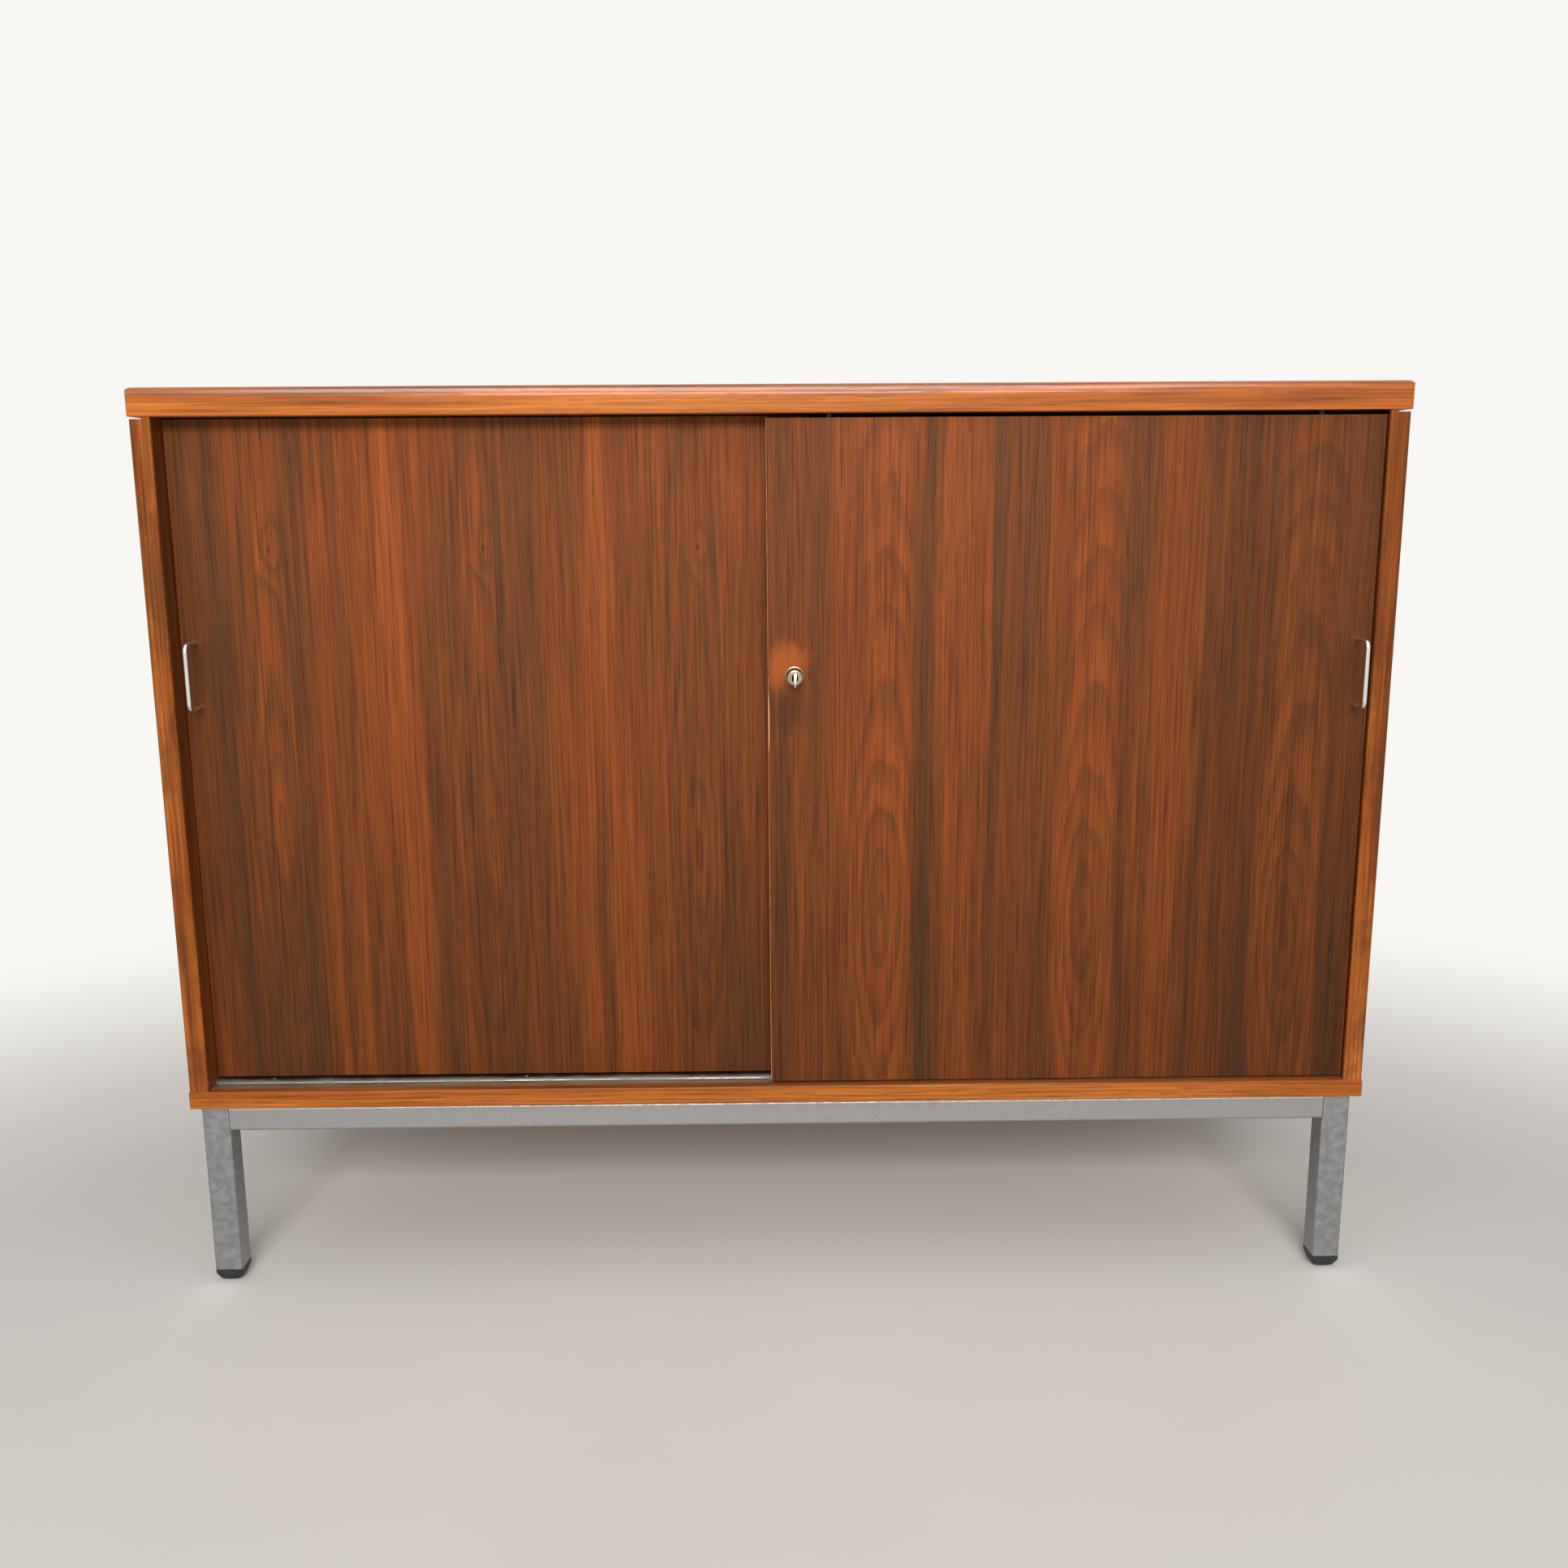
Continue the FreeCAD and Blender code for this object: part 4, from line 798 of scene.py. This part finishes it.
class CABINET_OT_lippings(bpy.types.Operator):
    """Finish the solid wood on the edges"""

    bl_idname = "cabinet.lippings"
    bl_label = "Finish the lippings"

    def execute(self, context):
        wanted = context.scene.cabinet_lipping
        sheen = wanted.roughness
        colours = (wanted.dark, wanted.middle, wanted.light, wanted.pore)
        # Painted light: the top edge gets a lit copy of the lipping colours, with less blue.
        lit_red, lit_green, lit_blue = 0.89, 0.84, 0.48
        lit = [(lit_red * red, lit_green * green, lit_blue * blue) for red, green, blue in colours]
        duller = [scaled(shade, 0.68) for shade in colours]
        darker = [scaled(shade, 0.65) for shade in colours]
        edges = [scaled(wanted.door_edge, part) for part in (0.75, 1.0, 1.2, 0.6)]
        flat = Rings(spacing=0.0042, wander=0.006, share=0.28)
        tall = Rings(spacing=0.0046, wander=0.007, share=0.35)
        thin = Rings(spacing=0.003, wander=0.004, share=0.5)
        stain = Stain(wanted.worn, strength=0.52, stained_to=0.79, clean_from=0.86)
        corner, chip_below_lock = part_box("front_door_lippings")[0], 0.036
        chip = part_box("lock_housing")[0].z - chip_below_lock
        rubbed = Rubbed(wanted.rubbed, across=corner.x, depth=corner.y, chip=chip)

        top = plain_wood(
            "top_lipping_wood", long_grain, lit, flat, roughness=0.2, seed=2.0, gloss=0.36
        )
        dress(top, "top_front_lipping")
        low = plain_wood("long_lipping_wood", long_grain, duller, flat, sheen, seed=3.0)
        dress(low, "bottom_front_lipping", "left_shelf_lipping", "right_shelf_lipping")
        ends = plain_wood("end_lipping_wood", deep_grain, colours, flat, sheen, seed=4.0)
        dress(ends, "top_left_lipping", "top_right_lipping")
        sides = plain_wood(
            "side_lipping_wood", upright, darker, tall, sheen, seed=6.0, stain=stain
        )
        dress(sides, "left_side_lipping", "right_side_lipping")
        marked = tall._replace(share=0.5)
        inner = plain_wood("partition_lipping_wood", upright, colours, marked, sheen, seed=7.0)
        dress(inner, "partition_lipping")
        rear = plain_wood("rear_edge_wood", upright, edges, thin, sheen, seed=8.0)
        dress(rear, "rear_door_lippings")
        front = plain_wood(
            "front_edge_wood", upright, edges, thin, sheen, seed=9.0, rubbed=rubbed
        )
        dress(front, "front_door_lippings")
        return {"FINISHED"}


class CABINET_OT_inside(bpy.types.Operator):
    """Finish the bottom, the partition, the shelves, the back and the dowels"""

    bl_idname = "cabinet.inside"
    bl_label = "Finish the inside"

    def execute(self, context):
        wanted, veneer = context.scene.cabinet_inside, context.scene.cabinet_veneer
        colours = (wanted.dark, wanted.middle, wanted.light, wanted.dark)
        broad = Rings(spacing=0.007, wander=0.02, share=0.35)
        sheen, edge = 0.5, back_edge()
        shelves = plain_wood(
            "inner_flat_veneer", flat_grain, colours, broad, sheen, seed=12.0, raw_edge=edge
        )
        dress(shelves, "left_shelf", "right_shelf")
        end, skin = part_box("bottom_panel")[1].x, 0.0004
        ends = Ends(level=end - skin, dark=veneer.dark, light=veneer.light)
        bottom = plain_wood(
            "bottom_veneer", flat_grain, colours, broad, sheen, seed=12.0, raw_edge=edge, ends=ends
        )
        dress(bottom, "bottom_panel")
        partition = plain_wood(
            "inner_upright_veneer", side_grain, colours, broad, sheen, seed=14.0
        )
        dress(partition, "centre_partition")
        beech = [scaled(wanted.beech, part) for part in (0.8, 1.0, 1.0, 0.6)]
        narrow = Rings(spacing=0.002, wander=0.002, share=0.4)
        dowels = plain_wood("dowel_beech", upright, beech, narrow, roughness=0.6, seed=16.0)
        dress(dowels, "carcass_dowels")
        dress(fibre_finish("fibre_board", tuple(wanted.board)), "back_panel")
        return {"FINISHED"}


class CABINET_OT_base(bpy.types.Operator):
    """Finish the steel base and its glides"""

    bl_idname = "cabinet.base"
    bl_label = "Finish the base"

    def execute(self, context):
        metal, plastic = context.scene.cabinet_metal, context.scene.cabinet_plastic
        pale, dull = metal.steel, metal.steel_dark
        legs = [f"{end}_{hand}_leg" for end in ("front", "rear") for hand in ("left", "right")]
        for name, axes, clean, stained, seed, pieces in (
            ("leg_steel", upright, dull, pale, 1.0, legs),
            ("rail_steel", long_grain, pale, dull, 3.0, ("front_rail", "rear_rail")),
            ("side_rail_steel", front_turned, pale, dull, 5.0, ("left_rail", "right_rail")),
        ):
            marks = Marks(patch=110.0, spot=420.0, line=700.0, seed=seed)
            tube = metal_finish(
                name, axes, clean, stained, marks, roughness=0.4, stain_share=0.45
            )
            dress(tube, *pieces)
        glides = plastic_finish("glide_plastic", plastic.black, roughness=0.5, seed=2.0)
        dress(glides, "foot_glides")
        return {"FINISHED"}


class CABINET_OT_runners(bpy.types.Operator):
    """Finish the track, the guide, the rollers and their carriers"""

    bl_idname = "cabinet.runners"
    bl_label = "Finish the runners"

    def execute(self, context):
        plastic, bright = context.scene.cabinet_plastic, context.scene.cabinet_metal.aluminium
        marks = Marks(patch=30.0, spot=320.0, line=1400.0, seed=7.0)
        dull = scaled(bright, 0.62)
        track = metal_finish(
            "track_aluminium", flat_grain, bright, dull, marks, roughness=0.3, stain_share=0.5
        )
        dress(track, "bottom_door_track")
        guide = plastic_finish("guide_plastic", plastic.brown, roughness=0.45, seed=4.0)
        dress(guide, "top_door_guide", "front_door_guide_pins", "rear_door_guide_pins")
        nylon = plastic_finish("roller_nylon", plastic.nylon, roughness=0.4, seed=6.0)
        for door in ("front_door", "rear_door"):
            dress(nylon, f"{door}_carriers", f"{door}_left_roller", f"{door}_right_roller")
        return {"FINISHED"}


class CABINET_OT_fittings(bpy.types.Operator):
    """Finish the pulls and the small steel fittings"""

    bl_idname = "cabinet.fittings"
    bl_label = "Finish the fittings"

    def execute(self, context):
        metal = context.scene.cabinet_metal
        chrome, zinc = metal.chrome, metal.zinc
        marks = Marks(patch=90.0, spot=700.0, line=1800.0, seed=9.0)
        dull = scaled(chrome, 0.7)
        pulls = metal_finish(
            "pull_chrome",
            upright,
            chrome,
            dull,
            marks,
            roughness=0.14,
            stain_share=0.35,
            line_depth=0.00001,
        )
        dress(pulls, "front_door_pull", "rear_door_pull")
        marks = Marks(patch=160.0, spot=900.0, line=900.0, seed=11.0)
        dull = scaled(zinc, 0.6)
        plated = metal_finish("zinc_plate", upright, zinc, dull, marks, roughness=0.32)
        dress(plated, "shelf_pins", "frame_screws")
        for door in ("front_door", "rear_door"):
            dress(plated, f"{door}_pull_nuts", f"{door}_axles")
        return {"FINISHED"}


class CABINET_OT_lock(bpy.types.Operator):
    """Finish the lock, its key and the strike"""

    bl_idname = "cabinet.lock"
    bl_label = "Finish the lock"

    def execute(self, context):
        metal = context.scene.cabinet_metal
        head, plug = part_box("lock_plunger")[0].y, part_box("lock_plug")[0].y
        ring_low, ring_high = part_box("lock_housing")
        axis, edge = middle_of("lock_housing"), (ring_high.x - ring_low.x) / 2
        # Painted shade, in a dark brass brown and a near black: the ring darker towards its bore,
        # the head's barrel behind its face and the plug inside its keyway.
        dirt, keyway_shade = scaled(metal.brass, 0.14), tone(22, 17, 12)
        round_bore = PaintedShade(dirt, start=edge - 0.0008, end=edge - 0.0013, bore=axis)
        behind_head = PaintedShade(dirt, start=head + 0.0009, end=head + 0.003)
        in_keyway = PaintedShade(keyway_shade, start=plug + 0.0002, end=plug + 0.0006)
        worn, bright = (metal.nickel, metal.brass), (metal.chrome, metal.nickel)
        marks = Marks(patch=170.0, spot=900.0, line=2200.0, seed=13.0)
        for name, piece, plate, stain_share, painted_shade in (
            ("ring_plate", "lock_housing", worn, 0.6, round_bore),
            ("bush_plate", "strike_bush", worn, 0.6, None),
            ("head_plate", "lock_plunger", worn, 0.7, behind_head),
            ("plug_plate", "lock_plug", worn, 0.7, in_keyway),
            ("key_plate", "lock_key", bright, 0.35, None),
        ):
            finish = metal_finish(
                name,
                front_turned,
                *plate,
                marks,
                roughness=0.4,
                stain_share=stain_share,
                line_depth=0.00002,
                painted_shade=painted_shade,
            )
            dress(finish, piece)
        return {"FINISHED"}


def add_object(name, data):
    """A new object in the scene."""
    made = bpy.data.objects.new(name, data)
    bpy.context.scene.collection.objects.link(made)
    return made


def geometry_tree(name, sockets):
    """An empty geometry node tree: a net for its nodes, what goes in and what comes out."""
    geometry = {"Geometry": "Geometry"}
    return new_tree(name, "GeometryNodeTree", {**geometry, **sockets}, geometry)


def end_tree(net, given, wanted, geometry):
    """End a geometry node tree in plain geometry with its finish."""
    real = net.node("GeometryNodeRealizeInstances", {"Geometry": geometry})
    finish = {"Geometry": real.outputs["Geometry"], "Material": given["Material"]}
    made = net.node("GeometryNodeSetMaterial", finish)
    net.feed(wanted["Geometry"], made.outputs["Geometry"])
    return net.tree


def grow(context, piece, tree, values):
    """Give a piece the mesh that a geometry node tree makes from the values."""
    inputs = [item for item in tree.interface.items_tree if item.in_out == "INPUT"]
    identifiers = {item.name: item.identifier for item in inputs}
    modifier = piece.modifiers.new(tree.name, "NODES")
    modifier.node_group = tree
    for label, value in values.items():
        modifier[identifiers[label]] = value
    context.view_layer.update()
    ready = piece.evaluated_get(context.evaluated_depsgraph_get())
    made = bpy.data.meshes.new_from_object(ready)
    piece.modifiers.clear()
    piece.data = made
    if not made.polygons:
        raise RuntimeError(f"nothing was made for {piece.name}")


def coil_tree():
    """Geometry nodes that wind a coil of round wire along Y, from a place."""
    sizes = dict.fromkeys(("Coil Radius", "Wire Radius", "Length", "Turns"), "Float")
    facets = dict.fromkeys(("Facets", "Wire Facets"), "Int")
    net, given, wanted = geometry_tree(
        "coil_spring", {**sizes, **facets, "Place": "Vector", "Material": "Material"}
    )
    coil = net.node(
        "GeometryNodeCurveSpiral",
        {
            "Resolution": given["Facets"],
            "Rotations": given["Turns"],
            "Start Radius": given["Coil Radius"],
            "End Radius": given["Coil Radius"],
            "Height": given["Length"],
        },
    )
    ring = {"Resolution": given["Wire Facets"], "Radius": given["Wire Radius"]}
    wire = net.node("GeometryNodeCurvePrimitiveCircle", ring)
    curves = {"Curve": coil.outputs["Curve"], "Profile Curve": wire.outputs["Curve"]}
    wound = net.node("GeometryNodeCurveToMesh", {**curves, "Fill Caps": True})
    turned = {"Rotation": quarter_turn, "Translation": given["Place"]}
    laid = net.node("GeometryNodeTransform", {"Geometry": wound.outputs["Mesh"], **turned})
    smooth = net.node("GeometryNodeSetShadeSmooth", {"Geometry": laid.outputs["Geometry"]})
    return end_tree(net, given, wanted, smooth.outputs["Geometry"])


class CABINET_OT_spring(bpy.types.Operator):
    """Wind the lock's coil spring"""

    bl_idname = "cabinet.spring"
    bl_label = "Wind the lock spring"

    def execute(self, context):
        wanted = context.scene.cabinet_spring
        low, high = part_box("lock_spring")
        middle = middle_of("lock_spring")
        wire = wanted.wire / 2
        piece = add_object("lock_spring_coil", bpy.data.meshes.new("lock_spring_coil"))
        values = {
            "Coil Radius": (high.x - low.x) / 2 - wire,
            "Wire Radius": wire,
            "Length": high.y - low.y - 2 * wire,
            "Turns": wanted.turns,
            "Facets": wanted.facets,
            "Wire Facets": wanted.wire_facets,
            "Place": (middle.x, low.y + wire, middle.z),
            "Material": bpy.data.materials["zinc_plate"],
        }
        grow(context, piece, coil_tree(), values)
        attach(piece, "front_door")
        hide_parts("lock_spring")
        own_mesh(piece)
        return {"FINISHED"}


def head_places(node, axis, head_radius):
    """Middles of a node's flat screw heads, found on its own mesh."""
    flat, apart = 1e-5, 2.2 * head_radius
    corners = [vertex.co.copy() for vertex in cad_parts[node].data.vertices]
    level = max(corner[axis] for corner in corners)
    heads = []
    for corner in corners:
        if level - corner[axis] > flat:
            continue
        for head in heads:
            if (head[0] - corner).length < apart:
                head.append(corner)
                break
        else:
            heads.append([corner])
    middles = []
    for head in heads:
        spans = [(min(c[i] for c in head), max(c[i] for c in head)) for i in range(3)]
        middles.append(Vector([(low + high) / 2 for low, high in spans]))
    return middles


def screw_tree():
    """Geometry nodes that set one countersunk screw with a cross recess on every point."""
    lengths = ("Head Radius", "Shank Radius", "Length")
    recess_sizes = ("Recess Width", "Recess Reach", "Recess Depth")
    sizes = dict.fromkeys(lengths + recess_sizes, "Float")
    wholes = dict.fromkeys(("Facets", "Seed"), "Int")
    net, given, wanted = geometry_tree(
        "countersunk_screws", {**sizes, **wholes, "Direction": "Vector", "Material": "Material"}
    )

    def cone(low_radius, high_radius, low, tall):
        shape = {"Radius Top": high_radius, "Radius Bottom": low_radius, "Depth": tall}
        made = net.node("GeometryNodeMeshCone", {"Vertices": given["Facets"], **shape})
        moved = {"Geometry": made.outputs["Mesh"], "Translation": net.point(0.0, 0.0, low)}
        return net.node("GeometryNodeTransform", moved).outputs["Geometry"]

    def bar(x, y):
        size = net.point(given[x], given[y], net.times(given["Recess Depth"], 2.0))
        return net.node("GeometryNodeMeshCube", {"Size": size}).outputs["Mesh"]

    head_radius, shank_radius, tall = (given[label] for label in lengths)
    height = net.less(head_radius, shank_radius)
    head = cone(shank_radius, head_radius, net.times(height, -1.0), height)
    shank = cone(shank_radius, shank_radius, net.times(tall, -1.0), net.less(tall, height))
    recess = net.node("GeometryNodeMeshBoolean", {"Mesh 1": head}, operation="DIFFERENCE")
    for x, y in (("Recess Width", "Recess Reach"), ("Recess Reach", "Recess Width")):
        net.feed(recess.inputs["Mesh 2"], bar(x, y))
    whole = net.node("GeometryNodeJoinGeometry")
    for part in (recess.outputs["Mesh"], shank):
        net.feed(whole.inputs[0], part)

    screws = {"Points": given["Geometry"], "Instance": whole.outputs[0]}
    placed = net.node("GeometryNodeInstanceOnPoints", {**screws, "Rotation": given["Direction"]})
    upper_limit, result = 3, 1
    chance = net.node(
        "FunctionNodeRandomValue", {upper_limit: math.tau, "Seed": given["Seed"]}, data_type="FLOAT"
    )
    turn = net.point(0.0, 0.0, chance.outputs[result])
    turned = net.node(
        "GeometryNodeRotateInstances", {"Instances": placed.outputs["Instances"], "Rotation": turn}
    )
    return end_tree(net, given, wanted, turned.outputs["Instances"])


class CABINET_OT_screws(bpy.types.Operator):
    """Set countersunk screws with a cross recess in the back, the track and the roller carriers"""

    bl_idname = "cabinet.screws"
    bl_label = "Set the screws"

    def execute(self, context):
        wanted = context.scene.cabinet_screws
        tree = screw_tree()
        upwards = (0.0, 0.0, 0.0)
        for node, body, axis, direction, head, shank in (
            ("back_panel_screws", "cabinet", 1, quarter_turn, 0.0032, 0.0016),
            ("track_screws", "cabinet", 2, upwards, 0.003, 0.0015),
            ("front_door_carrier_screws", "front_door", 1, quarter_turn, 0.0028, 0.0014),
            ("rear_door_carrier_screws", "rear_door", 1, quarter_turn, 0.0028, 0.0014),
        ):
            low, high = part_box(node)
            mesh = bpy.data.meshes.new(node)
            mesh.from_pydata(head_places(node, axis, head), [], [])
            piece = add_object(f"{node}_with_recess", mesh)
            values = {
                "Head Radius": head,
                "Shank Radius": shank,
                "Length": high[axis] - low[axis],
                "Recess Width": 2 * head * wanted.recess_width,
                "Recess Reach": 2 * head * wanted.recess_reach,
                "Recess Depth": (head - shank) * wanted.recess_depth,
                "Facets": wanted.facets,
                "Seed": wanted.seed,
                "Direction": direction,
                "Material": bpy.data.materials["zinc_plate"],
            }
            grow(context, piece, tree, values)
            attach(piece, body)
            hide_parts(node)
        return {"FINISHED"}


def area_lamp(name, place, target, size, watts):
    """A large soft lamp that faces a point."""
    light = bpy.data.lights.new(name, "AREA")
    light.shape = "RECTANGLE"
    light.size, light.size_y = size
    light.energy = watts
    lamp = add_object(name, light)
    lamp.location = place
    lamp.rotation_euler = (Vector(target) - Vector(place)).to_track_quat("-Z", "Y").to_euler()
    return lamp


def seen_directly(net):
    """One where the camera, a mirror or glass looks straight at the surface."""
    path = net.node("ShaderNodeLightPath").outputs
    seen = net.plus(path["Is Camera Ray"], path["Is Glossy Ray"], clamp=True)
    return net.plus(seen, path["Is Transmission Ray"], clamp=True)


class CABINET_OT_stage(bpy.types.Operator):
    """Set up the floor, the light and the camera"""

    bl_idname = "cabinet.stage"
    bl_label = "Set the stage"

    def execute(self, context):
        wanted = context.scene.cabinet_stage
        self.make_floor(wanted)
        self.make_world(context, wanted)
        self.make_lamps(wanted)
        self.make_camera(context, wanted)
        context.scene.view_settings.view_transform = "Standard"
        return {"FINISHED"}

    def make_floor(self, wanted):
        half = wanted.floor_size
        corners = [(-half, -half, 0), (half, -half, 0), (half, half, 0), (-half, half, 0)]
        mesh = bpy.data.meshes.new("floor")
        mesh.from_pydata(corners, [], [(0, 1, 2, 3)])
        floor = add_object("floor", mesh)
        material, net, inputs, places = new_finish("pale_floor", upright)
        across, depth = places["Across"], places["Depth"]
        clouds = net.noise(net.point(across, depth, 0.0), scale=2.2, detail=4.0)
        base = tuple(wanted.floor)
        net.feed(inputs["Base Color"], net.ramp(clouds, (0.3, scaled(base, 0.95)), (0.7, base)))
        net.feed(inputs["Roughness"], 0.8)
        # The floor turns into the background with the distance from a place in front.
        in_front, clear_to, gone_from = 0.9, 1.16, 2.3
        far = net.distance(across, net.plus(depth, in_front))
        shown = net.times(net.between(far, clear_to, gone_from), seen_directly(net))
        glow = net.node("ShaderNodeEmission", {"Color": tuple(wanted.backdrop)})
        lit = net.tree.nodes["Principled BSDF"].outputs[0]
        blend = net.node("ShaderNodeMixShader", {0: shown, 1: lit, 2: glow.outputs[0]})
        net.feed(net.tree.nodes["Material Output"].inputs["Surface"], blend.outputs[0])
        mesh.materials.append(material)

    def make_world(self, context, wanted):
        world = bpy.data.worlds.new("surroundings")
        world.use_nodes = True
        context.scene.world = world
        net = Net(world.node_tree)
        net.tree.nodes.clear()
        # The light is strongest from the front and from above.
        way = net.node("ShaderNodeTexCoord").outputs["Generated"]
        ahead, height = net.split(way)[1:]
        from_above, least = 0.9, 0.13
        facing = net.less(net.times(height, from_above), ahead)
        level = net.times_plus(net.between(facing, low=-0.4, high=0.95), 1.0 - least, least)
        strength = net.times(level, wanted.sky)
        around = net.node(
            "ShaderNodeBackground", {"Color": tone(250, 250, 250), "Strength": strength}
        )
        shown = net.node("ShaderNodeBackground", {"Color": tuple(wanted.backdrop)})
        blend = net.node(
            "ShaderNodeMixShader",
            {0: seen_directly(net), 1: around.outputs[0], 2: shown.outputs[0]},
        )
        net.node("ShaderNodeOutputWorld", {"Surface": blend.outputs[0]})

    def make_lamps(self, wanted):
        area_lamp(
            "key_lamp",
            place=(0.0, -5.2, 2.95),
            target=(0.0, -0.2, 0.4),
            size=(3.0, 1.3),
            watts=wanted.key_power,
        )
        card = area_lamp(
            "gloss_card",
            place=(-0.1, -1.0, 2.7),
            target=(0.0, -0.2, 0.9),
            size=(2.2, 1.5),
            watts=wanted.card_power,
        )
        card.visible_diffuse = False

    def make_camera(self, context, wanted):
        place = (-0.00774, -1.60986, 0.80671)
        yaw, pitch, roll = -0.0112, 0.196, -0.0066
        level = Vector((-math.sin(yaw), math.cos(yaw), 0.0))
        ahead = level * math.cos(pitch) - Vector((0.0, 0.0, math.sin(pitch)))
        right = Vector((math.cos(yaw), math.sin(yaw), 0.0))
        up = right.cross(ahead)
        rolled_right = right * math.cos(roll) + up * math.sin(roll)
        rolled_up = up * math.cos(roll) - right * math.sin(roll)
        data = bpy.data.cameras.new("camera")
        data.sensor_width = 36.0
        data.lens = wanted.lens
        camera = add_object("camera", data)
        turn = Matrix((rolled_right, rolled_up, -ahead)).transposed().to_4x4()
        camera.matrix_world = Matrix.Translation(place) @ turn
        context.scene.camera = camera


class CABINET_PT_panel(bpy.types.Panel):
    """Steps and settings of the cabinet's finishes"""

    bl_idname = "CABINET_PT_panel"
    bl_label = "Cabinet"
    bl_space_type = "VIEW_3D"
    bl_region_type = "UI"
    bl_category = "Cabinet"

    def draw(self, context):
        for step in operators:
            self.layout.operator(step.bl_idname)
        for name, kind in settings_classes.items():
            box = self.layout.box()
            box.label(text=kind.__doc__)
            for value in kind.__annotations__:
                box.prop(getattr(context.scene, name), value)


operators = (
    CABINET_OT_veneer,
    CABINET_OT_lippings,
    CABINET_OT_inside,
    CABINET_OT_base,
    CABINET_OT_runners,
    CABINET_OT_fittings,
    CABINET_OT_lock,
    CABINET_OT_spring,
    CABINET_OT_screws,
    CABINET_OT_stage,
)


def register():
    for kind in (*settings_classes.values(), *operators, CABINET_PT_panel):
        bpy.utils.register_class(kind)
    for name, kind in settings_classes.items():
        setattr(bpy.types.Scene, name, PointerProperty(type=kind))


def unregister():
    for name in settings_classes:
        delattr(bpy.types.Scene, name)
    for kind in (CABINET_PT_panel, *reversed(operators), *settings_classes.values()):
        bpy.utils.unregister_class(kind)


def main():
    """Register the add-on and run its steps in order."""
    register()
    for step in operators:
        group, call = step.bl_idname.split(".")
        getattr(getattr(bpy.ops, group), call)()


if __name__ == "__main__":
    main()
